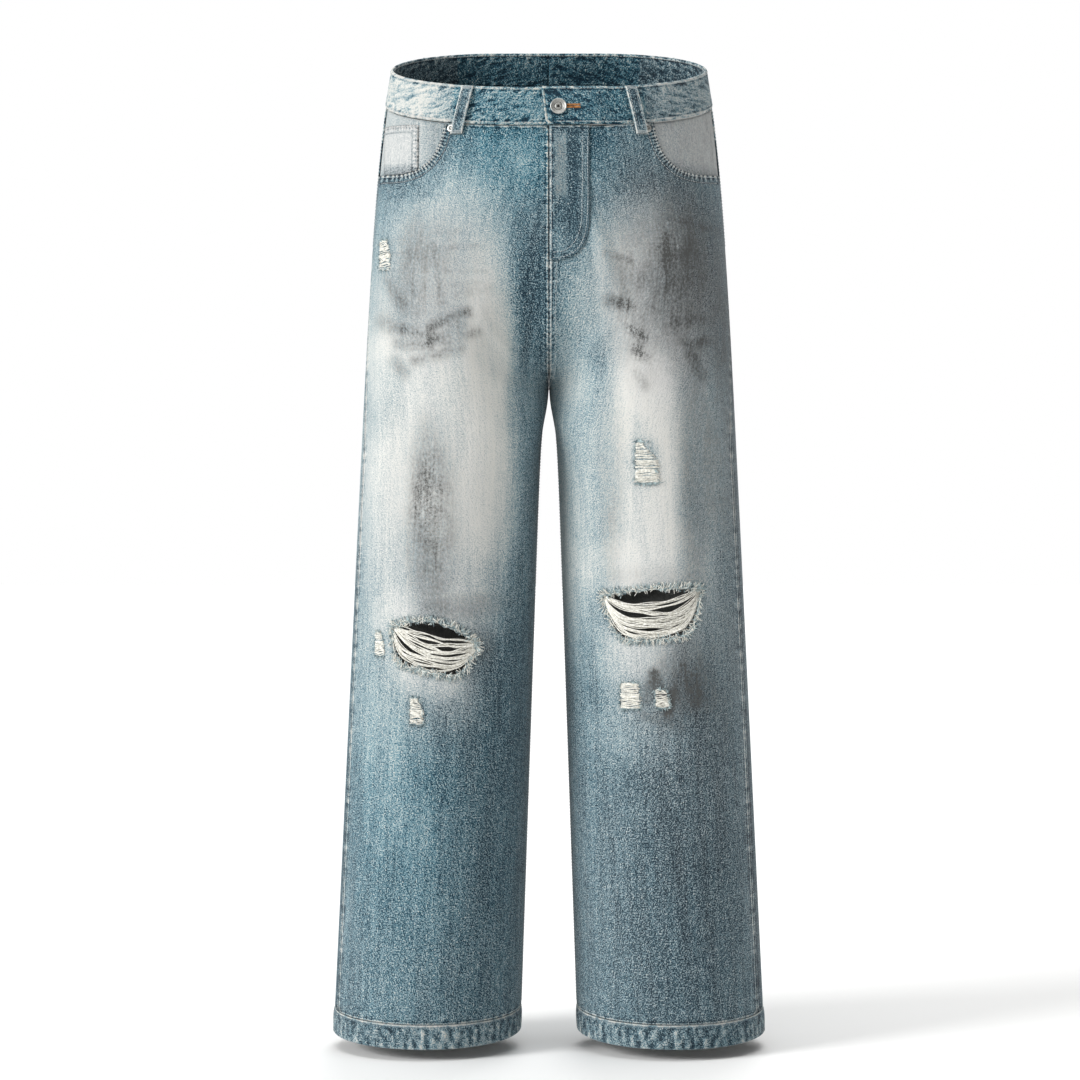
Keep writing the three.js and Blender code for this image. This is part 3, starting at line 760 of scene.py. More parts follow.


# The front's wear, painted shade and light run on round the sides, giving way there to the back's
# own.
def clothWear(side, points, atBack):
    x, z = points[..., 0], points[..., 2]
    washedAndShaded = softSpots(x, z, washAndShade[side], np.full(x.shape, washAndShade["base"]))
    soiled = softSpots(x, z, dirt[side], np.zeros(x.shape))
    tint = softSpots(x, z, tints[side], np.zeros(x.shape))
    if atBack:
        across, down = np.abs(x) + 7 * side, z + 16 * side  # the two backs aren't worn quite alike
        fade = smooth((np.abs(x) - 165) / 40)
        behind = softSpots(across, down, backWash, np.full(x.shape, washAndShade["base"]))
        behind = behind + strokes(across, down, backLines, np.zeros(x.shape))
        washedAndShaded = lerp(behind, washedAndShaded, fade)
        soiled = lerp(softSpots(across, down, backDirt, np.zeros(x.shape)), soiled, fade)
        tint = lerp(0.0, tint, fade)
    else:
        soiled = strokes(x, z, smudges[side], soiled)
    return np.clip(washedAndShaded, 0.02, 0.98), np.clip(soiled, 0, 0.9), tint


# cutting a hole in a panel
# Rips: a nearly straight upper edge and a sagging lower edge between two corners.
rips = {
    right: {"x": -118, "z": -603, "half": 46, "drop": 36, "arch": 15, "lean": -12},
    left: {"x": 106, "z": -557, "half": 51, "drop": 48, "arch": 3, "lean": 4},
}


# Thread patches: the warp is gone and the wefts lie bare. Each: side, x, z, half width, half
# height, and how much its top narrows to one side.
patches = [
    (left, 101, -423, 12, 21, 0.7),
    (left, 84, -664, 10, 13, 0.1),
    (left, 117, -667, 7, 9, 0.3),
    (right, -137, -680, 7, 13, 0.4),
    (right, -172, -204, 6, 15, 0.3),
    (right, -176, -611, 5, 12, 0.4),
]


# A point of a rip: along is -1 to 1 from end to end, down is 0 at its upper edge, an arch, and 1
# at its lower edge, which drops by one less the sixth power of along.
def ripPoint(side, along, down):
    rip = rips[side]
    turn, u = math.radians(rip["lean"]), along * rip["half"]
    top, bottom = rip["arch"] * (1 - along**2), -rip["drop"] * (1 - along**6)
    w = top + (bottom - top) * down
    c, s = math.cos(turn), math.sin(turn)
    return rip["x"] + u * c - w * s, rip["z"] + u * s + w * c


# Once round a rip, its edges made uneven by two sines.
def ripOutline(side):
    across = np.sin(np.linspace(-math.pi / 2, math.pi / 2, 60))
    along = np.concatenate([across, across[::-1][1:-1]])
    down = np.concatenate([np.zeros(60), np.ones(58)])
    frayed = 0.02 * np.sin(along * 31) + 0.015 * np.sin(along * 73 + 1)
    x, z = ripPoint(side, along, down + np.where(down > 0.5, frayed, -frayed))
    return np.stack([x, z], axis=1)


mouthCut = {"x": 108.5, "scoop": ((108.5, -64), (112, -104), (132, -134), (186, -114)), "to": 260}


# The pocket mouth: straight down from the waistband, then a cubic scoop round to the side seam.
def mouthCurve(side, t):
    t = np.asarray(t, float)[..., None]
    a, b, c, d = (np.array(v, float) for v in mouthCut["scoop"])
    at = a * (1 - t) ** 3 + 3 * b * t * (1 - t) ** 2 + 3 * c * t * t * (1 - t) + d * t**3
    return at * np.array([side, 1])


# Once round the mouth, closed past the side seam and above the waistband's lower edge.
def mouthOutline(side):
    down = [[side * mouthCut["x"], z] for z in (-20, -42, -54)]
    beyond = [[side * mouthCut["to"], z] for z in (-114, -20)]
    return np.concatenate([down, mouthCurve(side, np.linspace(0, 1, 60)), beyond])


# Whether points lie inside an outline: a level line from one crosses it an odd number of times.
def insideOutline(x, z, outline):
    inside = np.zeros(x.shape, bool)
    for (x0, z0), (x1, z1) in zip(outline, np.roll(outline, -1, axis=0)):
        crosses = (z0 > z) != (z1 > z)
        inside ^= crosses & (x < (x1 - x0) * (z - z0) / (z1 - z0 + 1e-12) + x0)
    return inside


# The distance to an outline and its nearest point, over its straight steps.
def nearestOnOutline(x, z, outline):
    best = np.full(x.shape, 1e9)
    near = np.zeros((*x.shape, 2))
    for a, b in zip(outline, np.roll(outline, -1, axis=0)):
        d = b - a
        t = np.clip(((x - a[0]) * d[0] + (z - a[1]) * d[1]) / (d @ d + 1e-12), 0, 1)
        px, pz = a[0] + t * d[0], a[1] + t * d[1]
        away = np.hypot(x - px, z - pz)
        closer = away < best
        best = np.where(closer, away, best)
        near[closer] = np.stack([px, pz], axis=-1)[closer]
    return best, near


# Moves the grid points beside an outline onto it; state is -1 outside, 0 on it and 1 inside.
def cutShape(side, angle, h, state, outline):
    p = clothPoint(side, angle, h)
    x, z = p[..., 0], p[..., 2]
    facing = p[..., 1] < panel["front"]
    inside = insideOutline(x, z, outline) & facing
    away, near = nearestOnOutline(x, z, outline)
    snap = np.zeros(x.shape, bool)
    for axis in (0, 1):
        a = [slice(None, -1) if k == axis else slice(None) for k in (0, 1)]
        b = [slice(1, None) if k == axis else slice(None) for k in (0, 1)]
        a, b = tuple(a), tuple(b)
        crossing = inside[a] != inside[b]
        first = away[a] <= away[b]
        snap[a] |= crossing & first
        snap[b] |= crossing & ~first
    snap &= facing & (away < 8)
    a, hh = angle[snap], h[snap]
    for _ in range(4):
        p = clothPoint(side, a, hh)
        pa = (clothPoint(side, a + 0.3, hh) - p) / 0.3
        ph = (clothPoint(side, a, hh + 0.3) - p) / 0.3
        ex, ez = near[snap][:, 0] - p[:, 0], near[snap][:, 1] - p[:, 2]
        det = pa[:, 0] * ph[:, 2] - ph[:, 0] * pa[:, 2]
        det = np.where(np.abs(det) < 0.05, np.sign(det + 1e-9) * 0.05, det)
        a = a + np.clip((ex * ph[:, 2] - ez * ph[:, 0]) / det, -2.5, 2.5)
        hh = hh + np.clip((ez * pa[:, 0] - ex * pa[:, 2]) / det, -5, 5)
    angle[snap], h[snap] = a, hh
    return np.where(snap, 0, np.where(inside, 1, state))


# Keeps the faces outside the cuts; a face cut from corner to corner keeps its outer triangle.
def keptFaces(faces, state):
    s = state.ravel()[faces]
    whole = (s.max(axis=1) <= 0) & (s.min(axis=1) < 0)
    kept = faces[whole].tolist()
    mixed = faces[(s.max(axis=1) > 0) & (s.min(axis=1) < 0)]
    for k in range(4):
        tri = mixed[:, [(k - 1) % 4, k, (k + 1) % 4]]
        m = state.ravel()[tri]
        kept += tri[(m[:, 1] < 0) & (m[:, 0] == 0) & (m[:, 2] == 0)].tolist()
    return kept


# Renumbers faces after the points that no face uses are dropped from every array.
def dropUnused(kept, arrays):
    used = np.unique(np.concatenate([np.array(f) for f in kept]))
    number = np.full(used.max() + 1, -1)
    number[used] = np.arange(len(used))
    return [[int(number[v]) for v in f] for f in kept], [a[used] for a in arrays]


# leg panels
panel = {"columns": 92, "backColumns": 98, "thickness": 1.4, "puckerWidth": 8.0, "front": 6}
panelRows = np.concatenate([
    np.arange(form["panelTop"], -520, -4), np.arange(-520, -662, -2.6),
    np.arange(-663, -997, -4), [form["panelFoot"]],
])


# The row at which the cloth of each column crosses the yoke seam, a sloping line across the back.
def yokeRow(side, angle, drop=0.0):
    h = np.full(angle.shape, -90.0)
    for _ in range(30):
        p = clothPoint(side, angle, h)
        h = h - (p[..., 2] - (-87.7 + 0.0604 * np.abs(p[..., 0]) - drop)) * 0.7
    return h


# The nearest seam of several, each given as distances from it, lengths along it and whether it
# has a second row of stitches.
def nearestSeam(*seams):
    away = np.stack([np.abs(d) for d, _, _ in seams])
    run = np.stack([np.broadcast_to(r, away[0].shape) for _, r, _ in seams])
    pick = np.argmin(away, axis=0)[None]
    away, run = np.take_along_axis(away, pick, 0)[0], np.take_along_axis(run, pick, 0)[0]
    pucker = 1 - smooth(away / panel["puckerWidth"])
    twin = np.array([t for _, _, t in seams], float)[pick[0]] * (away < 14)
    return away, run, pucker, twin


# Half the gap of a seam in degrees, at 100 mm from the middle of the leg.
halfGap = np.degrees(form["gap"] / 2 / 100)


# A panel's grid: rows parted into equal lengths between its seams. The back's rows are squeezed
# to start at the yoke seam, and their ends are put back on the side seam.
def panelGrid(side, atBack):
    rows = panelRows
    seam = seamAngle(side, rows)
    if atBack:
        toCentre = np.full(rows.shape, 360.0)
        angle, run = evenAngles(side, seam + halfGap, toCentre, rows, panel["backColumns"])
        h = np.broadcast_to(rows[:, None], angle.shape).copy()
        rowSeam = (seam + halfGap)[:, None]
        share = (angle - rowSeam) / (360 - rowSeam)
        topAngle = angle[0]
        for _ in range(4):
            top = yokeRow(side, topAngle, form["gap"])
            topSeam = seamAngle(side, top) + halfGap
            topAngle = topSeam + share[0] * (360 - topSeam)
        rows0 = rows[0]
        h = top + (h - rows0) * (form["panelFoot"] - top) / (form["panelFoot"] - rows0)
        ownSeam = seamAngle(side, h) + halfGap
        angle = ownSeam + share * (360 - ownSeam)
        inward = run[:, -1:] - run
        outward = run
    else:
        angle, run = evenAngles(side, 0 * seam, seam - halfGap, rows, panel["columns"])
        h = np.broadcast_to(rows[:, None], angle.shape).copy()
        inward = run
        outward = run[:, -1:] - run
    return angle, h, run, inward, outward


# A leg panel: its grid on the cloth with the rip and the pocket mouth cut out, its wear and its
# painted shade.
def makePanel(side, atBack):
    angle, h, run, inward, outward = panelGrid(side, atBack)
    state = np.full(angle.shape, -1)
    if not atBack:
        state = cutShape(side, angle, h, state, ripOutline(side))
        state = cutShape(side, angle, h, state, mouthOutline(side))
    points = skin(side, angle, h)
    atInseam = (h <= form["crotchRow"]) & ((angle < 0.01) | (angle > 359.99))
    points[..., 1] += np.where(atInseam, (1 if atBack else -1) * form["gap"] / 2, 0)
    washedAndShaded, soiled, tint = clothWear(side, points, atBack)
    seams = [
        (inward * 0.8, -h, 0.35 * (side == left or not atBack)), (outward * 0.5, -h, 0),
        (h - form["panelFoot"], run, 0), (h[0] - h, run, float(atBack)),
    ]
    if not atBack:
        mouth = mouthOutline(side)[:-2]
        thereAndBack = np.concatenate([mouth, mouth[::-1]])
        away, near = nearestOnOutline(points[..., 0], points[..., 2], thereAndBack)
        away = np.where(points[..., 1] < panel["front"], away, 99)
        seams.append((away, np.abs(near[..., 0]) - near[..., 1], 1.8))
    away, along, pucker, twin = nearestSeam(*seams)
    # Where an edge is joined, for a line of painted shade in the join.
    joinShade = 1.0 * (away < 9)
    if atBack:  # the bulk of the seam keeps its blue beside the outseam
        washedAndShaded = washedAndShaded - 0.2 * (1 - smooth((outward - 6) / 26))
    else:
        outline = ripOutline(side)
        torn, _ = nearestOnOutline(points[..., 0], points[..., 2], outline)
        # Painted shade under the fringe: the cloth within about 9 mm of the rip is darkened.
        washedAndShaded = washedAndShaded - 0.3 * (1 - smooth(torn / 9)) * (points[..., 1] < panel["front"])
        joinShade = joinShade * (seams[-1][0] > away + 0.01)
    # Painted shade under each thread patch, dark as the gaps between its bare wefts.
    for patchSide, x, z, halfWidth, halfHeight, _ in patches:
        if patchSide == side and not atBack:
            spot = (x, z, halfWidth + 1.5, halfHeight + 1.5, 0, -0.35)
            washedAndShaded = softSpots(points[..., 0], points[..., 2], [spot], washedAndShaded)
    faces, _ = gridFaces(*angle.shape, flip=side == right)
    kept, arrays = dropUnused(keptFaces(faces, state), [
        points.reshape(-1, 3), np.stack([outward, h], -1).reshape(-1, 2),
        np.stack([along, away], -1).reshape(-1, 2),
        *[a.ravel() for a in (washedAndShaded, soiled, pucker, twin, joinShade, tint)],
    ])
    node = f"{'back' if atBack else 'front'}_{sideNames[side]}"
    piece = makeMesh(
        "denim_" + node, arrays[0], kept, [fadedDenim, reverseDenim],
        {"cloth": arrays[1], "seam": arrays[2]}, None,
        dict(zip(("washAndShade", "dirt", "pucker", "twin", "joinShade", "tint"), arrays[3:])),
    )
    thicken(piece, panel["thickness"])
    return settle(piece, "faded_denim", node)


for side in (right, left):
    for atBack in (False, True):
        makePanel(side, atBack)
print("leg panels made")


# flat pieces laid on the cloth
# Lengths along the columns (axis 0) or the rows (axis 1) of a grid of points, from 0.
def lengthsAlong(points, axis):
    steps = np.linalg.norm(np.diff(points, axis=axis), axis=2)
    return np.insert(np.cumsum(steps, axis=axis), 0, 0, axis=axis)


# A patch is a grid of rows going down between an upper and a lower edge, given in x and z, laid on
# the cloth at an offset. Its own edges are its seams.
def makePatch(
    name, side, x, z, atBack, off, thickness, washedAndShaded, soiled, slot, node,
    edges=(1, 1, 1, 1), twin=1, tint=0.0,
):
    angle, h = findOnCloth(side, x, z, atBack)
    points = skin(side, angle, h, np.broadcast_to(off, x.shape))
    runDown, runAcross = lengthsAlong(points, 0), lengthsAlong(points, 1)
    seams = [
        (runDown, runAcross, twin), (runDown[-1] - runDown, runAcross, twin),
        (runAcross, runDown, twin), (runAcross[:, -1:] - runAcross, runDown, twin),
    ]
    away, along, pucker, twin = nearestSeam(*[s for s, sewn in zip(seams, edges) if sewn])
    direction = np.cross(points[1, 0] - points[0, 0], points[0, 1] - points[0, 0])
    outwards = clothNormal(side, angle[0, 0], h[0, 0])
    faces, _ = gridFaces(*x.shape, flip=float(direction @ outwards) < 0)
    piece = makeMesh(
        name, points, faces, [fadedDenim, reverseDenim],
        {"cloth": np.stack([runAcross, -runDown], -1), "seam": np.stack([along, away], -1)}, None,
        {
            "washAndShade": np.broadcast_to(washedAndShaded, x.shape), "dirt": np.broadcast_to(soiled, x.shape),
            "pucker": pucker, "twin": twin, "tint": np.full(x.shape, tint),
        },
    )
    thicken(piece, thickness)
    return settle(piece, slot, node)


# Yokes: from under the waistband down to the yoke seam.
def makeYoke(side):
    rows = np.linspace(0, 1, 14)[:, None]
    h0, toCentre = np.array([form["panelTop"]]), np.array([360.0])
    start = seamAngle(side, h0) + halfGap
    angle, run = evenAngles(side, start, toCentre, h0, panel["backColumns"])
    low = yokeRow(side, angle[0])
    h = form["panelTop"] + (low - form["panelTop"]) * rows
    angle = np.broadcast_to(angle, h.shape)
    points = skin(side, angle, h)
    washedAndShaded, soiled, _ = clothWear(side, points, True)
    run = np.broadcast_to(run, h.shape)
    away, along, pucker, twin = nearestSeam(
        (run, -h, 0), (run[:, -1:] - run, -h, 0), (h - h[-1], run, 0), (h[0] - h, run, 0)
    )
    faces, _ = gridFaces(*h.shape, flip=side == right)
    piece = makeMesh(
        f"denim_yoke_{sideNames[side]}", points, faces, [fadedDenim, reverseDenim],
        {"cloth": np.stack([run, h], -1), "seam": np.stack([along, away], -1)}, None,
        {"washAndShade": washedAndShaded + 0.02, "dirt": soiled * 0.5, "pucker": pucker, "twin": twin},
    )
    thicken(piece, panel["thickness"])
    return settle(piece, "faded_denim", f"yoke_{sideNames[side]}")


backPocket = {
    "top": ((32, -118), (161, -111)), "foot": ((43, -244), (97, -263), (151, -238)),
    "off": 1.7, "thickness": 1.4, "dirt": 0.06,
}


# A back pocket: straight sides between its top edge and a foot with a blunt point.
def makeBackPocket(side):
    u, w = np.meshgrid(np.linspace(0, 1, 40), np.linspace(0, 1, 42))
    (x0, z0), (x1, z1) = backPocket["top"]
    (a0, b0), (a1, b1), (a2, b2) = backPocket["foot"]
    footX, footZ = lerp(a0, a2, u), np.interp(lerp(a0, a2, u), (a0, a1, a2), (b0, b1, b2))
    x, z = lerp(lerp(x0, x1, u), footX, w), lerp(lerp(z0, z1, u), footZ, w)
    washedAndShaded = softSpots(x, z, backWash, np.full(x.shape, washAndShade["base"] + 0.05))
    washedAndShaded = softSpots(x, z, [(96, -170, 40, 40, 0, 0.12)], washedAndShaded)
    name = sideNames[side]
    return makePatch(
        f"denim_back_pocket_{name}", side, x * side, z, True, backPocket["off"],
        backPocket["thickness"], washedAndShaded, backPocket["dirt"], "faded_denim", f"back_pocket_{name}",
    )


facing = {"top": -40.6, "foot": -139, "from": 92, "off": -1.7, "thickness": 1.4}
facing["tint"] = {right: -0.35, left: -0.6}


# The pocket facings: a plain piece of cloth behind each mouth, whiter on the right.
def makeFacing(side):
    h = np.linspace(facing["top"], facing["foot"], 36)
    angle, run = evenAngles(side, frontAngle(facing["from"], h), seamAngle(side, h) - 0.15, h, 34)
    h = np.broadcast_to(h[:, None], angle.shape)
    points = skin(side, angle, h, np.full(h.shape, facing["off"]))
    x = np.abs(points[..., 0])
    if side == right:
        washedAndShaded = 0.62 - 0.2 * smooth((-points[..., 2] - 104) / 14) - 0.14 * smooth((134 - x) / 16)
        soiled = 0.04 + 0.12 * smooth((140 - x) / 20)
    else:
        washedAndShaded = 0.62 + 0.1 * smooth((x - 130) / 40) - 0.2 * smooth((-points[..., 2] - 104) / 14)
        soiled = 0.26 + 0.12 * smooth((x - 150) / 20)
    faces, _ = gridFaces(*h.shape, flip=side == right)
    piece = makeMesh(
        f"denim_pocket_facing_{sideNames[side]}", points, faces, [fadedDenim, reverseDenim],
        {"cloth": np.stack([run, h], -1), "seam": np.stack([run, 0 * h + 99], -1)}, None,
        {"washAndShade": washedAndShaded + 0.08, "dirt": soiled, "tint": np.full(h.shape, facing["tint"][side])},
    )
    thicken(piece, facing["thickness"])
    return settle(piece, "pale_denim", f"pocket_facing_{sideNames[side]}")


# The angle at which the front of the ring is a distance from the middle plane, by halving.
def frontAngle(distance, h):
    h = np.asarray(h, float)
    low, high = np.zeros(h.shape), np.full(h.shape, 175.0)
    for _ in range(32):
        middle = (low + high) / 2
        short = np.abs(clothPoint(left, middle, h)[..., 0]) < distance
        low, high = np.where(short, middle, low), np.where(short, high, middle)
    return (low + high) / 2


coin = {"x": (137.2, 175.0), "top": (-69, -64.5), "off": -0.2, "thickness": 1.2}


# The coin pocket: from a sloping top edge down to the scoop of the pocket mouth.
def makeCoinPocket():
    u, w = np.meshgrid(np.linspace(0, 1, 20), np.linspace(0, 1, 22))
    x = lerp(*coin["x"], u)
    t = np.interp(x[0], mouthCurve(left, np.linspace(0, 1, 50))[:, 0], np.linspace(0, 1, 50))
    foot = mouthCurve(left, t)[:, 1] + 0.8
    z = lerp(lerp(*coin["top"], u), np.broadcast_to(foot, x.shape), w)
    washedAndShaded = 0.78 - 0.42 * smooth((w - 0.72) / 0.25)
    return makePatch(
        "denim_coin_pocket", right, -x, z, False, coin["off"], coin["thickness"], washedAndShaded, 0.03,
        "pale_denim", "coin_pocket", (1, 0, 1, 0), tint=-0.6,
    )


fly = {"width": 42, "foot": -215, "curve": 45, "off": 1.35, "thickness": 1.1}


# The fly: straight at the centre front and the waistband, with a J curve round its foot, a
# quarter turn whose width goes by a power of 3.2.
def flyFoot(x):
    rise = 1 - np.sqrt(np.clip(1 - (x / fly["width"]) ** 3.2, 0, 1))
    return fly["foot"] + fly["curve"] * rise


# The fly's grid: columns side by side, each from under the waistband down to the J.
def makeFly():
    u, w = np.meshgrid(np.linspace(0, 1, 20) ** 0.8, np.linspace(0, 1, 60))
    x = lerp(0.2, 41.6, u)
    h = form["panelTop"]
    top = [clothPoint(left, frontAngle(v, h), h)[2] for v in x[0]]
    z = lerp(np.broadcast_to(top, x.shape), flyFoot(x), w)
    spots = [
        (26, -125, 6, 60, 0, -0.14), (35, -130, 5, 50, 0, 0.12),
        (8, -196, 8, 16, 0, 0.2), (24, -200, 12, 12, 0, 0.12),
    ]
    washedAndShaded = softSpots(x, z, spots, np.full(x.shape, 0.15))
    strip = smooth((x - 4) / 2) * smooth((19 - x) / 2)  # worn over the zip
    strip = strip * smooth((-z - 80) / 4) * smooth((z + 152) / 6)
    washedAndShaded, soiled = washedAndShaded + 0.34 * strip, 0.04 + 0.3 * strip
    return makePatch(
        "denim_fly", left, x, z, False, fly["off"], fly["thickness"], washedAndShaded, soiled,
        "faded_denim", "fly", (1, 0, 1, 0), 0,
    )


for side in (right, left):
    makeYoke(side)
    makeBackPocket(side)
    makeFacing(side)
makeCoinPocket()
makeFly()
print("yokes, pockets and fly made")


# bands: a rounded section carried round the waist or the leg
# The section's points: down the outer face, round the foot, up the inner face and over the top.
def bandSection(height, thick, proud, steps):
    turn = np.linspace(0, math.pi, 6)[1:-1]
    r = thick / 2
    faceDown = np.linspace(-r, -height + r, steps)
    dh = np.concatenate([
        faceDown, -height + r - r * np.sin(turn), faceDown[::-1], -r + r * np.sin(turn),
    ])
    off = np.concatenate([
        np.full(steps, proud), proud - r + r * np.cos(turn),
        np.full(steps, proud - thick), proud - r - r * np.cos(turn),
    ])
    return dh, off


band = {
    "thick": 3.0, "proud": 0.8, "stations": 190,
    "lapUnder": 38, "lapOver": 8.5, "lapFoot": 3.5, "lapRunOut": (44, 72),
}


# A band's cloth map: lengths round the body and down its section, closed past the top.
def bandMap(run, dh, off):
    down = np.concatenate([[0], np.cumsum(np.hypot(np.diff(dh), np.diff(off)))])
    down = np.append(down, down[-1] + 1)
    wide = np.concatenate([run, run[:1]])
    return wide, np.stack([wide, -np.broadcast_to(down[:, None], wide.shape)], -1)


# How far the lapped end stands off, over the end below: one thickness, run out along x.
def lapLift(points):
    lift = (band["thick"] + form["gap"]) * (1 - between(points[..., 0], *band["lapRunOut"]))
    return np.where(points[..., 1] < 0, lift, 0)


# The waistband: its section carried round the waist; one half runs on over the other in front.
def makeWaistband(side):
    dh, off = bandSection(form["waistband"], band["thick"], band["proud"], 16)
    own, run = evenAngles(side, np.full(dh.shape, 360.0), frontAngle(4, dh), dh, band["stations"])
    if side == right:
        reach = np.full(dh.shape, float(band["lapUnder"]))
    else:
        reach = lerp(band["lapOver"], band["lapFoot"], -dh / form["waistband"])
    share = np.linspace(0, 1, 14)[1:]
    beyond = np.array([frontAngle(reach * t, dh) for t in share]).T
    h1, h2 = np.broadcast_to(dh[:, None], own.shape), np.broadcast_to(dh[:, None], beyond.shape)
    points = np.concatenate([clothPoint(side, own, h1), clothPoint(-side, beyond, h2)], axis=1)
    normals = np.concatenate([clothNormal(side, own, h1), clothNormal(-side, beyond, h2)], axis=1)
    run = np.concatenate([run, run[:, -1:] + 4 + reach[:, None] * share], axis=1)
    lift = np.broadcast_to(off[:, None], run.shape).copy()
    if side == left:
        lift += lapLift(points)
    # The sewn edges pull the band into low waves.
    outer = smooth((off[:, None] - band["proud"] + 1.2) / 1.2)
    edge = bell(dh[:, None] + 5, 5.0) + bell(dh[:, None] + 35, 5.0)
    wave = np.sin(run * 0.62 + 2.2 * np.sin(run * 0.043) + 0.25 * dh[:, None])
    lift += 0.35 * outer * edge * wave
    points = points + normals * lift[..., None]
    points[:, 0, 0] = side * form["gap"] / 2
    x = points[..., 0]
    across = np.abs(x)
    inFront = points[..., 1] < 20
    if side == right:
        washedAndShaded = np.where(inFront, 0.25 + 0.48 * smooth((across - 78) / 60), 0.34)
        soiled = np.full(x.shape, 0.05)
    else:
        washedAndShaded = np.where(inFront, 0.1 + 0.34 * smooth((x - 70) / 60), 0.32)
        soiled = 0.05 + 0.16 * smooth((x - 70) / 40) * inFront
    # The inner face: dark blue, partly unworn cloth and partly painted shade inside the waist,
    # with pale pleats near its top.
    inner = smooth((band["proud"] - 1.5 - off) / 1.2)[:, None]
    pleats = bell(dh[:, None] + 7, 8) * smooth(wave)
    washedAndShaded = lerp(washedAndShaded, 0.05 + 0.34 * pleats, inner)
    fromEdge = np.maximum(np.minimum(-dh, dh + form["waistband"]) - 0.8, 0)
    fromEdge = np.broadcast_to(fromEdge[:, None], x.shape)
    if side == left:
        toEnd = run[:, -1:] - run
        fromEdge = np.minimum(fromEdge, toEnd)
        washedAndShaded = washedAndShaded + 0.4 * bell(toEnd - 2, 2.2) - 0.25 * bell(toEnd - 7, 1.5)
    pucker = 1 - smooth(fromEdge / 13)
    rows, columns = points.shape[:2]
    faces, corners = gridFaces(rows, columns, flip=side == left, wrapRows=True)
    wide, cloth = bandMap(run, dh, off)
    seam = np.stack([wide, np.concatenate([fromEdge, fromEdge[:1]])], -1)
    caps = [np.arange(rows) * columns, (np.arange(rows) * columns + columns - 1)[::-1]]
    if side == right:
        caps = [c[::-1] for c in caps]
    allFaces = [*faces.tolist(), *[c.tolist() for c in caps]]
    allCorners = [*corners.tolist(), *[c.tolist() for c in caps]]
    piece = makeMesh(
        f"denim_waistband_{sideNames[side]}", points, allFaces, [crinkledDenim],
        {"cloth": cloth, "seam": seam}, allCorners,
        {"washAndShade": washedAndShaded, "dirt": soiled, "pucker": pucker * 0.9, "tint": 0.4 * (across < 100)},
    )
    return settle(piece, "waistband_denim", f"waistband_{sideNames[side]}")


hem = {"thick": 3.2, "proud": 0.8, "stations": 260, "rope": 0.55}


# A hem: its section carried round the leg, with a sine lifting slanting ridges on its outer face.
def makeHem(side):
    dh, off = bandSection(form["hem"], hem["thick"], hem["proud"], 12)
    outer = smooth((off - hem["proud"] + 1.2) / 1.2)
    off = off - 0.9 * outer * bell(dh + 1.6, 1.6)  # tucked under its stitch line
    rows = form["hem"] - form["outseam"] + dh
    angle, run = evenAngles(side, 0 * rows, 0 * rows + 360, rows, hem["stations"])
    angle, total = angle[:, :-1], run[:, -1:]
    h = np.broadcast_to(rows[:, None], angle.shape)
    r = run[:, :-1]
    # Roping: the turned hem twists into slanting ridges about 11 mm apart, closed round the leg.
    turns = np.round(total / 11.0)
    phase = 2 * math.pi * (turns * r / total) + 0.1 * dh[:, None]
    for size, waves in ((1.1, 7), (0.5, 17)):
        phase = phase + size * np.sin(2 * math.pi * waves * r / total)
    roped = np.sin(phase) * outer[:, None] * bell(dh[:, None] + 12, 9.0)
    lift = off[:, None] + hem["rope"] * roped
    points = clothPoint(side, angle, h) + clothNormal(side, angle, h) * lift[..., None]
    # Blue between the ridges, pale on their crests and on the turned top edge, with a line of
    # painted shade just under that edge.
    crests = np.sin(phase) * outer[:, None] * smooth((-dh[:, None] - 3) / 5)
    washedAndShaded = 0.26 + 0.17 * crests + 0.14 * bell(points[..., 0] + 112, 44)
    for amount, at, half in ((0.55, -0.6, 1.3), (-0.14, -4.4, 1.3), (0.1, -24.5, 1.6)):
        washedAndShaded = washedAndShaded + amount * bell(dh[:, None] - at, half)
    soiled = np.full(r.shape, 0.12)
    pucker = np.broadcast_to((0.35 + 0.4 * outer)[:, None], r.shape)
    faces, corners = gridFaces(*angle.shape, flip=side == right, wrapRows=True, wrapColumns=True)
    wide, cloth = bandMap(run, dh, off)
    fromTop = np.broadcast_to(np.append(-dh + 4, 4)[:, None], wide.shape)
    piece = makeMesh(
        f"denim_hem_{sideNames[side]}", points, faces, [ropedDenim],
        {"cloth": cloth, "seam": np.stack([wide, fromTop], -1)}, corners,
        {"washAndShade": washedAndShaded, "dirt": soiled, "pucker": pucker},
    )
    return settle(piece, "hem_denim", f"hem_{sideNames[side]}")


for side in (right, left):
    makeWaistband(side)
    makeHem(side)
print("waistband and hems made")

# belt loops
loop = {"width": 13.0, "thick": 1.6, "bow": 3.2, "above": 1.5, "below": 13.0}
loops = {
    "belt_loop_front_right": (right, float(frontAngle(84, 0)), float(frontAngle(94, -40))),
    "belt_loop_front_left": (left, float(frontAngle(84, 0)), float(frontAngle(94, -40))),
    "belt_loop_back_right": (right, 228.0, 228.0),
    "belt_loop_back_left": (left, 228.0, 228.0),
    "belt_loop_back_centre": (left, 360.0, 360.0),
}  # the leg it hangs over, and the angles of its upper and lower end


# The middle line of a loop: down the waistband, bowed out by a sine, flat on it at both ends.
def loopLine(node, t):
    side, topAngle, lowAngle = loops[node]
    h = -loop["above"] - (form["waistband"] + loop["below"] - loop["above"]) * t
    angle = topAngle + (lowAngle - topAngle) * t
    normal = clothNormal(side, angle, h)
    bow = band["proud"] + form["gap"] + loop["bow"] * np.sin(math.pi * t) ** 0.6
    across = np.stack([-normal[..., 1], normal[..., 0], 0 * h], -1)
    across /= np.linalg.norm(across, axis=-1, keepdims=True)
    return clothPoint(side, angle, h) + normal * bow[..., None], across, normal


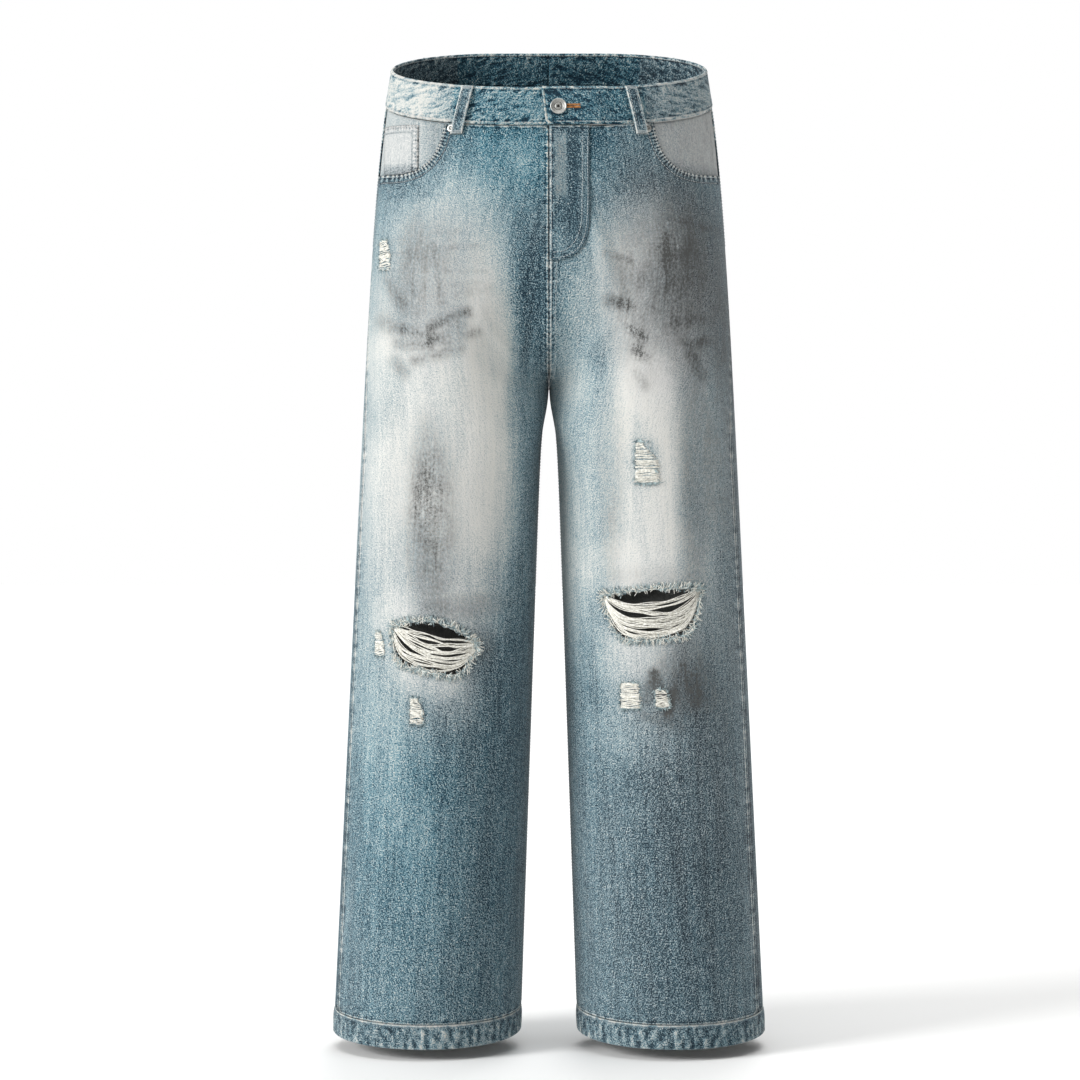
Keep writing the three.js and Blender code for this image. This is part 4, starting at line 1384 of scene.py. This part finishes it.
# A belt loop: a flattened round section, a power of a sine and a cosine, carried down its line.
# Its two folded edges stand a little higher than its middle.
def makeLoop(node):
    t = np.linspace(0, 1, 30)
    centre, across, normal = loopLine(node, t)
    turn = np.linspace(0, 2 * math.pi, 28, endpoint=False)
    c, s = np.cos(turn), np.sin(turn)
    u = np.sign(c) * np.abs(c) ** 0.35 * loop["width"] / 2
    w = loop["thick"] / 2 * (1 + np.sign(s) * np.abs(s) ** 0.5)
    w = w + 0.35 * (s > 0) * bell(np.abs(u) - 5, 1.2)
    points = centre[:, None] + across[:, None] * u[:, None] + normal[:, None] * w[:, None]
    rows, columns = points.shape[:2]
    faces, corners = gridFaces(rows, columns, flip=False, wrapColumns=True)
    caps = [np.arange(columns)[::-1], (rows - 1) * columns + np.arange(columns)]
    capCorners = [np.arange(columns)[::-1], (rows - 1) * (columns + 1) + np.arange(columns)]
    direction = np.cross(points[1, 0] - points[0, 0], points[0, 1] - points[0, 0])
    if direction @ (points[0, 0] - centre[0] - normal[0] * 0.8) < 0:
        faces, corners = faces[:, ::-1], corners[:, ::-1]
        caps, capCorners = [c[::-1] for c in caps], [c[::-1] for c in capCorners]
    length = np.linspace(0, form["waistband"] + loop["below"], rows)
    girth = np.append(u, u[0])
    cloth = np.stack(np.broadcast_arrays(girth[None], -length[:, None]), -1)
    edge = loop["width"] / 2 - np.abs(girth)
    seam = np.stack(np.broadcast_arrays(length[:, None], edge[None]), -1)
    ends = np.minimum(t, 1 - t) * 53
    washedAndShaded = 0.1 + 0.35 * bell(ends, 3.5)[:, None] + 0.5 * bell(np.abs(u) - 5.9, 0.9)
    if node == "belt_loop_front_right":
        washedAndShaded = washedAndShaded + 0.1
    piece = makeMesh(
        "denim_" + node, points, [*faces.tolist(), *[c.tolist() for c in caps]], [fadedDenim],
        {"cloth": cloth, "seam": seam}, [*corners.tolist(), *[c.tolist() for c in capCorners]],
        {"washAndShade": washedAndShaded, "dirt": 0 * washedAndShaded + 0.05, "pucker": 0 * washedAndShaded + 0.45},
    )
    return settle(piece, "waistband_denim", node)


for node in loops:
    makeLoop(node)
print("belt loops made")

# stitching
stitch = {"pitch": 3.4, "length": 2.6, "radius": 0.33, "lift": 0.12}


# Stitches at equal steps along a path of points and normals: each a short thread that rises from
# the cloth and dips back into it.
def stitchPaths(points, normals):
    run = np.concatenate([[0], np.cumsum(np.linalg.norm(np.diff(points, axis=0), axis=1))])
    pitch, half, lift = stitch["pitch"], stitch["length"] / 2, stitch["lift"]
    at = np.arange(pitch * 0.5, run[-1] - pitch * 0.4, pitch)

    def pick(values, s):
        return np.stack([np.interp(s, run, values[:, k]) for k in range(3)], axis=-1)

    start, middle, end = pick(points, at - half), pick(points, at), pick(points, at + half)
    normal = pick(normals, at)
    rises = (
        (start, -0.45), (lerp(start, middle, 0.45), 0.05), (middle, 0.14),
        (lerp(middle, end, 0.55), 0.05), (end, -0.45),
    )
    return np.stack([p + normal * (lift + rise) for p, rise in rises], axis=1)


# Points along the cloth, moved out, and the normals there.
def clothPath(side, angle, h, off=0.0):
    angle, h = np.broadcast_arrays(np.asarray(angle, float), np.asarray(h, float))
    return skin(side, angle, h, np.broadcast_to(off, angle.shape)), clothNormal(side, angle, h)


# Stitches along angles and rows of the cloth.
def sewAlong(side, angle, h, off=0.0):
    return stitchPaths(*clothPath(side, angle, h, off))


# Stitches along x and z as they show from the front or the back.
def sewAt(side, x, z, atBack=False, off=0.0):
    return sewAlong(side, *findOnCloth(side, x, z, atBack), off)


# Joins paths into one piece of thread.
def makeStitching(name, paths, material, slot, radius=None, sides=4):
    points, faces = tubes(np.concatenate(paths), radius or stitch["radius"], sides)
    piece = makeMesh(name, points, faces, [material])
    return settle(piece, slot)


# Stitches beside a seam: the seam's angle plus the distance over the length of one degree.
def sewBeside(side, seam, h, distance):
    oneOn = clothPoint(side, np.clip(seam + np.sign(distance), 0, 360), h)
    step = np.linalg.norm(oneOn - clothPoint(side, seam, h), axis=-1)
    return sewAlong(side, seam + distance / np.maximum(step, 0.3), h)


for side in (right, left):
    # One row beside the upper part of the side seam.
    hSeam = np.linspace(-44, -998, 400)
    hSeam = hSeam[hSeam > -190]
    lines = [sewBeside(side, seamAngle(side, hSeam), hSeam, 3.0)]
    # Twin rows beside the inseam, on the front panel.
    hIn = np.linspace(form["crotchRow"] - 2, -998, 300)
    lines += [sewBeside(side, 0 * hIn, hIn, distance) for distance in (2.0, 7.0)]
    # Twin rows along the pocket mouth.
    down = np.stack([np.full(12, side * mouthCut["x"]), np.linspace(-50, -63, 12)], 1)
    curve = np.concatenate([down, mouthCurve(side, np.linspace(0, 1, 120))])
    step = np.gradient(curve, axis=0)
    step /= np.linalg.norm(step, axis=1, keepdims=True)
    outwards = np.stack([step[:, 1], -step[:, 0]], 1) * side
    for distance in (2.0, 8.0):
        at = curve + outwards * distance
        inside = (np.abs(at[:, 0]) < 178) & (at[:, 1] < -66)
        lines.append(sewAt(side, at[inside, 0], at[inside, 1]))
    makeStitching(
        f"stitching_front_{sideNames[side]}", lines, tonalThread, "faded_denim"
    )
    # Back: twin rows under the yoke seam, beside the centre seam, and round the pocket.
    angles = np.linspace(182, 358, 200)
    twin = (2.0, 7.5)
    lines = [sewAlong(side, angles, yokeRow(side, angles) - distance) for distance in twin]
    if side == left:
        hBack = np.linspace(-44, form["crotchRow"] + 6, 140)
        lines += [sewBeside(side, 0 * hBack + 360, hBack, -distance) for distance in twin]
    (x0, z0), (x1, z1) = backPocket["top"]
    foot = np.array(backPocket["foot"], float)
    ring = np.array([[x0, z0], *foot.tolist(), [x1, z1]])
    middle = ring.mean(axis=0)
    paths = []
    for inset in twin:
        shrink = 1 - inset / np.array([62.0, 70.0])
        corners = middle + (ring - middle) * shrink
        legs = [np.linspace(a, b, 30) for a, b in zip(corners[:-1], corners[1:])]
        paths.append(np.concatenate(legs))
    for drop in (3.0, 12.0):
        paths.append(np.linspace([x0 + 2, z0 - drop], [x1 - 2, z1 - drop], 40))
    lines += [sewAt(side, p[:, 0] * side, p[:, 1], True, backPocket["off"]) for p in paths]
    makeStitching(
        f"stitching_back_{sideNames[side]}", lines, tonalThread, "faded_denim"
    )
    # Hem: one row just under its upper edge, pale above, its thread dark as painted shade where it
    # has sunk in.
    angles = np.linspace(0, 360, 400)
    hemTop = form["hem"] - form["outseam"]
    lines = [sewAlong(side, angles, np.full(400, hemTop - 2.2), 0.2)]
    makeStitching(
        f"stitching_hem_{sideNames[side]}", lines, shadedHemThread, "hem_denim", 0.42
    )

# Centre front: twin rows beside the fly's edge down to the crotch, and the J of the fly.
hFly = np.linspace(-44, form["crotchRow"] + 8, 160)
hFly = hFly[hFly < -190]
lines = [sewBeside(left, 0 * hFly, hFly, distance) for distance in (2.0, 7.0)]
lines.append(sewAt(left, np.full(60, 2.2), np.linspace(-84, -208, 60), False, fly["off"]))
for inset in (2.5, 8.0):
    scale = (fly["width"] - inset) / fly["width"]
    x = np.sin(np.linspace(0, math.pi / 2, 60)) * fly["width"] * scale
    z = flyFoot(x / scale) + inset
    upX, upZ = np.full(40, x[-1]), np.linspace(z[-1], -84, 40)
    x, z = np.concatenate([x[x > 3], upX]), np.concatenate([z[x > 3], upZ])
    lines.append(sewAt(left, x, z, False, fly["off"]))
makeStitching("stitching_fly", lines, tonalThread, "faded_denim")

# Coin pocket: twin rows on its top and its free side.
lines = []
for inset in (1.6, 6.0):
    x, z = -np.linspace(138, 178, 30), np.linspace(*coin["top"], 30) - inset
    lines.append(sewAt(right, x, z, False, coin["off"]))
    x, z = np.full(30, -coin["x"][0] - inset), np.linspace(-70, -112, 30)
    lines.append(sewAt(right, x, z, False, coin["off"]))
makeStitching("stitching_coin_pocket", lines, tonalThread, "pale_denim")

# Waistband: a row inside each edge, on its outer and inner faces, lifted over the lap on the left
# half.
for side in (right, left):
    lines = []
    for h in (-2.6, -37.4):
        angles = np.linspace(360, float(frontAngle(4 if side == left else 14, h)), 300)
        points, normals = clothPath(side, angles, np.full(300, h), band["proud"])
        inner, _ = clothPath(side, angles, np.full(300, h), band["proud"] - band["thick"])
        lap = normals * lapLift(points)[:, None] * (side == left)
        lines += [stitchPaths(points + lap, normals), stitchPaths(inner + lap, -normals)]
    makeStitching(
        f"stitching_waistband_{sideNames[side]}", lines, tonalThread, "waistband_denim"
    )

# Belt loops: a row inside each edge, and a bar tack across each end.
for node in loops:
    t = np.linspace(0.03, 0.97, 40)
    centre, across, normal = loopLine(node, t)
    outer = centre + normal * (loop["thick"] + 0.15)
    lines = [stitchPaths(outer + across * u, normal) for u in (-3.6, 3.6)]
    u, zig = np.linspace(-5.2, 5.2, 22)[:, None], np.where(np.arange(22) % 2, 0.8, -0.8)[:, None]
    for at in (0.02, 0.05, 0.95, 0.98):
        middle, sideways, out = loopLine(node, np.array([at]))
        path = middle + sideways * u + out * (loop["thick"] + 0.1) + np.array([0, 0, 1.0]) * zig
        top = (path[:-1] + path[1:]) / 2 + out * 0.2
        bars = np.stack([path[:-1], top, top, top, path[1:]], 1)
        lines.append(bars + np.linspace(0, 1e-3, 5)[None, :, None])
    makeStitching(
        "stitching_" + node, lines, tonalThread, "waistband_denim", 0.26
    )
print("stitching made")

# loose threads of the rips
rip = {"bundles": 13, "strands": 4, "fringe": 1100, "weftRadius": 0.5, "fringeRadius": 0.3}


# A place in the rip, off the surface that the cloth would have there.
def ripSurface(side, along, down, off):
    x, z = ripPoint(side, along, down)
    angle, h = findOnCloth(side, x, z)
    return clothPoint(side, angle, h) + clothNormal(side, angle, h) * np.asarray(off)[..., None]


# Wefts: cream threads in loose bundles from one end of the rip to the other, sagging to a depth
# by one less a power of the distance from the middle. A few cross the open part.
def makeWefts(side):
    bundles, strands, steps = rip["bundles"], rip["strands"], 24
    count = bundles * strands
    t = np.linspace(-1, 1, steps)[None]

    def spread(values, jitter):
        return np.repeat(values, strands)[:, None] + rng.normal(0, jitter, (count, 1))

    low = np.linspace(0.5, 0.97, bundles - 2) + rng.normal(0, 0.02, bundles - 2)
    deep = np.clip(spread(np.concatenate([[0.3, 0.38], low]), 0.018), 0.2, 0.985)
    start = spread(np.sort(rng.uniform(0.1, 0.8, bundles)), 0.05)
    end = spread(np.sort(rng.uniform(0.0, 0.75, bundles)), 0.06)
    middle = spread(rng.uniform(-0.25, 0.35, bundles), 0.03)
    first = rng.uniform(-0.985, -0.93, (count, 1))
    along = lerp(first, rng.uniform(0.93, 0.985, (count, 1)), (t + 1) / 2)
    bent = np.where(t < middle, (middle - t) / (1 + middle), (t - middle) / (1 - middle))
    sag = 1 - bent ** spread(rng.uniform(1.3, 2.4, bundles), 0.08)
    ends = lerp(np.clip(start, 0, 0.9), np.clip(end, 0, 0.9), (t + 1) / 2)
    wander = 0.014 * np.sin(t * rng.uniform(4, 10, (count, 1)) + rng.uniform(0, 6, (count, 1)))
    down = lerp(ends, deep, sag) + wander
    off = -0.9 + 1.0 * np.sin(t * rng.uniform(1, 4, (count, 1)) + rng.uniform(0, 6, (count, 1)))
    off = off * (1 - np.abs(t) ** 6) - 0.8 * np.abs(t) ** 6
    paths = ripSurface(side, along, down, off)
    radius = rip["weftRadius"] * rng.uniform(0.7, 1.15, (count, 1)) * np.ones((count, steps))
    points, faces = tubes(paths, radius, 6)
    piece = makeMesh(f"loose_wefts_{sideNames[side]}", points, faces, [weftYarn])
    return settle(piece, "rip_threads", f"rip_threads_{sideNames[side]}")


# Frayed ends: short curling threads from base points, mostly one way, over the cloth.
def frayPaths(base, normal, lean, length, stand, curl):
    t = np.linspace(0, 1, 6)[None, :, None]
    out = np.stack([np.sin(lean), 0 * lean, np.cos(lean)], -1)[:, None]
    sideways = np.stack([np.cos(lean), 0 * lean, -np.sin(lean)], -1)[:, None]
    length, stand, curl = (v[:, None, None] for v in (length, stand, curl))
    paths = base[:, None] + out * length * (t - 0.12) + sideways * curl * t**2
    return paths + normal[:, None] * (0.3 + stand * np.sin(t * 2.4))


# The rip's frayed edge: blue and cream ends all round it, more at its corners.
def makeFringe(side):
    count = rip["fringe"]
    along = np.sin(rng.uniform(-math.pi / 2, math.pi / 2, count))
    lower = rng.random(count) < 0.55
    x, z = ripPoint(side, along, lower.astype(float))
    angle, h = findOnCloth(side, x, z)
    base, normal = clothPoint(side, angle, h), clothNormal(side, angle, h)
    over = rng.random(count) < np.where(lower, 0.72, 0.78)  # the rest hang into the hole
    lean = rng.normal(0, 0.6, count) + np.where(lower == over, math.pi, 0)
    length = rng.uniform(3, 8.5, count) * np.where(over, 1.0, 0.6)
    stand, curl = rng.uniform(0.3, 1.8, count), rng.normal(0, 2.4, count)
    paths = frayPaths(base, normal, lean, length, stand, curl)
    blue = rng.random(count) < 0.55
    made = []
    for mask, material, label in ((blue, warpYarn, "warp"), (~blue, weftYarn, "weft")):
        points, faces = tubes(paths[mask], rip["fringeRadius"], 4)
        piece = makeMesh(f"fringe_{label}_{sideNames[side]}", points, faces, [material])
        made.append(settle(piece, "rip_threads"))
    return made


# The thread patches: pairs of bare wefts across each, and frayed ends round its edge.
def makePatchThreads(side):
    wefts, fringe = [], []
    for patchSide, x, z, halfWidth, halfHeight, slant in patches:
        if patchSide != side:
            continue
        level = np.arange(halfHeight, -halfHeight, -1.15) / halfHeight
        level = np.repeat(level + rng.normal(0, 0.03, level.shape), 2)[:, None]
        rows = len(level)
        widen = 1 - slant * smooth((level + 0.1) / 1.1)
        t = np.linspace(-1, 1, 9)[None]
        reach = 1 + rng.normal(0, 0.09, (rows, 1))
        px = x - halfWidth + halfWidth * (1 + t * reach) * widen
        sag = 0.9 * (t * t - 1) * np.sin(level * 5 + 1) + 0.4 * np.sin(t * 4 + level * 9)
        pz = z + halfHeight * level + sag + rng.normal(0, 0.35, (rows, 1))
        angle, h = findOnCloth(side, px, pz)
        wave = 0.3 + 0.5 * np.sin(t * 4 + rng.uniform(0, 6, (rows, 1)))
        wefts.append(clothPoint(side, angle, h) + clothNormal(side, angle, h) * wave[..., None])
        count = int(5.5 * (halfWidth + halfHeight))
        s = rng.uniform(0, 1, count)
        edge = rng.choice([0, 1, 2, 3], count, p=[0.34, 0.3, 0.18, 0.18])  # foot, top, either side
        shift = np.where(edge == 1, 1 - slant, 1.0)
        ex = np.where(edge < 2, x - halfWidth + 2 * halfWidth * s * shift, x - halfWidth)
        ex = np.where(edge == 3, x + halfWidth * (1 - 1.6 * slant * s), ex)
        ez = np.where(edge == 1, z + halfHeight, z + halfHeight * (2 * s - 1))
        ez = np.where(edge == 0, z - halfHeight, ez)
        angle, h = findOnCloth(side, ex, ez)
        base, normal = clothPoint(side, angle, h), clothNormal(side, angle, h)
        lean = rng.normal(0, 0.7, count) + np.array([math.pi, 0, -1.4, 1.4])[edge]
        length, stand = rng.uniform(1.6, 4.2, count), rng.uniform(0.2, 1.0, count)
        fringe.append(frayPaths(base, normal, lean, length, stand, rng.normal(0, 1.6, count)))
    name = sideNames[side]
    points, faces = tubes(np.concatenate(wefts), 0.4, 5)
    bare = settle(makeMesh(f"bare_wefts_{name}", points, faces, [weftYarn]), "rip_threads")
    points, faces = tubes(np.concatenate(fringe), 0.26, 4)
    ends = settle(makeMesh(f"patch_fringe_{name}", points, faces, [warpYarn]), "rip_threads")
    return [bare, ends]


for side in (right, left):
    makeWefts(side)
    makeFringe(side) + makePatchThreads(side)
print("rips and threads made")


# metal
# A turned piece: a profile of radius and height, spun about the line through a point.
def makeTurned(node, shape, centre, axis, segments=64):
    profile = np.array(shape["profile"], float)
    turn = np.linspace(0, 2 * math.pi, segments, endpoint=False)
    axis = axis / np.linalg.norm(axis)
    first = np.cross([0, 0, 1.0], axis)
    first /= np.linalg.norm(first)
    second = np.cross(axis, first)
    ring = first * np.cos(turn)[:, None] + second * np.sin(turn)[:, None]
    out, up = profile.T[:, :, None, None]
    points = centre + ring[None] * out + axis * up
    faces, _ = gridFaces(len(profile), segments, flip=False, wrapColumns=True)
    caps = [np.arange(segments), ((len(profile) - 1) * segments + np.arange(segments))[::-1]]
    piece = makeMesh(
        "nickel_" + node, points, [*faces.tolist(), *[c.tolist() for c in caps]], [nickel],
        None, None, {"grime": np.repeat(shape["grime"], segments)},
    )
    return settle(piece, "trim_metal", node)


# The middle of a solid's box, in mm.
def boxMiddle(node):
    low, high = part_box(node)
    return (np.array(low) + np.array(high)) * 500


# Profiles run from the middle of the face outwards, round the rim and in under the back.
button = {
    "profile": [
        (0.02, 1.3), (0.9, 1.3), (1.3, 1.7), (1.6, 2.1), (2.0, 2.15), (3.6, 2.05), (3.9, 1.8),
        (4.3, 1.8), (4.6, 2.1), (5.0, 2.25), (7.0, 2.2), (7.3, 2.45), (7.8, 2.7), (8.2, 2.6),
        (8.5, 2.2), (8.4, 1.7), (7.8, 1.2), (5.4, 0.8), (5.0, 0.0), (0.02, 0.0),
    ],
    "grime": [
        1.1, 1.1, 1.0, 0.5, 0.2, 0.3, 0.9, 0.9, 0.35, 0.2,
        0.35, 0.35, 0.02, 0.02, 0.2, 0.5, 0.6, 0.8, 0.9, 0.9,
    ],
    "sunk": 1.6,
}
rivet = {
    "profile": [
        (0.02, 1.15), (0.8, 1.15), (1.1, 0.9), (1.6, 0.85), (1.9, 1.05), (3.0, 1.1), (3.9, 0.9),
        (4.4, 0.45), (4.5, 0.1), (4.4, 0.0), (0.02, 0.0),
    ],
    "grime": [0.3, 0.35, 0.9, 0.9, 0.4, 0.25, 0.2, 0.4, 0.6, 0.6, 0.6],
    "sunk": 0.55,
}


# The foot and axis of a metal piece: its solid's middle, let down along the cloth's normal.
def seatMetal(node, depth):
    middle = boxMiddle(node)
    side = right if middle[0] < 0 else left
    angle, h = findOnCloth(side, middle[0], middle[2])
    axis = clothNormal(side, angle, h)
    return middle - axis * depth, axis


trim = {"waist_button": button, "rivet_right": rivet, "rivet_left": rivet}
for node, shape in trim.items():
    makeTurned(node, shape, *seatMetal(node, shape["sunk"]))

# The buttonhole: close zigzag stitches round a slit, beside the button on the lapped end.
lapOff = band["proud"] + band["thick"] + form["gap"]
bars = np.arange(16, 32.5, 0.75)
h0 = float(findOnCloth(left, 14.0, boxMiddle("waist_button")[2])[1])
lines = []
for row in (1.0, -1.0):
    angles = frontAngle(bars, np.full(bars.shape, h0))
    inner, n = clothPath(left, angles, np.full(bars.shape, h0 + 0.35 * row), lapOff + 0.1)
    outer, _ = clothPath(left, angles, np.full(bars.shape, h0 + 2.2 * row), lapOff - 0.1)
    rises = ((0, -0.2), (0.2, 0.25), (0.5, 0.4), (0.8, 0.25), (1, -0.2))
    lines.append(np.stack([lerp(inner, outer, k) + n * rise for k, rise in rises], 1))
makeStitching("stitching_buttonhole", lines, buttonholeThread, "waistband_denim", 0.36, 5)
print("button, rivets and buttonhole made")
# floor, light and camera
stage = {
    "floorDrop": 0.012, "floorSize": 30.0,
    "key": 3.0, "fill": 0.1, "rear": 1.2, "top": 1.5, "ambient": 0.27,
}
lowest = cadBounds[0][2] - stage["floorDrop"]
s = stage["floorSize"]
floorPoints = np.array([(-s, -s, lowest), (s, -s, lowest), (s, s, lowest), (-s, s, lowest)]) * 1000
floorMaterial, tree = startMaterial("matt_white_floor")
noise = addNode(tree, "TexNoise", {"Scale": 3.0, "Detail": 2.0})
finishMaterial(floorMaterial, {
    "Base Color": addNode(tree, "ValToRGB", (noise,), stops=[(0, "#f0f0ef"), (1, "#f5f5f4")]),
    "Roughness": 0.95, "Specular IOR Level": 0.1,
})
floor = makeMesh("studio_floor", floorPoints, [[0, 1, 2, 3]], [floorMaterial])


# A sun by its bearing, its height and the width of its disc in degrees.
def addSun(name, azimuth, elevation, strength, softness):
    data = bpy.data.lights.new(name, "SUN")
    data.energy, data.angle = strength, math.radians(softness)
    light = bpy.data.objects.new(name, data)
    bpy.context.collection.objects.link(light)
    light.rotation_euler = (math.radians(90 - elevation), 0, math.radians(azimuth))


addSun("key_sun", -60, 24, stage["key"], 24)
addSun("fill_sun", 50, 20, stage["fill"], 40)
addSun("rear_sun", 172, 36, stage["rear"], 30)
addSun("top_sun", 0, 88, stage["top"], 50)

world = bpy.data.worlds.new("white_studio")
bpy.context.scene.world = world
world.use_nodes = True
tree = world.node_tree
tree.nodes.clear()
seen = addNode(tree, "LightPath").outputs["Is Camera Ray"]
level = addNode(tree, "Mix", {0: seen, 2: stage["ambient"], 3: 1.0}, data_type="FLOAT")
background = addNode(tree, "Background", {"Color": srgb("#ffffff"), "Strength": level})
addNode(tree, "OutputWorld", (background,))
bpy.context.scene.view_settings.view_transform = "Standard"

cameraData = bpy.data.cameras.new("camera")
cameraData.lens, cameraData.sensor_width = 93.5, 36.0
camera = bpy.data.objects.new("camera", cameraData)
bpy.context.collection.objects.link(camera)
camera.location = (-0.0096, -3.0, -0.5029)
camera.rotation_euler = (math.pi / 2, 0, 0)
bpy.context.scene.camera = camera
print("stage made")
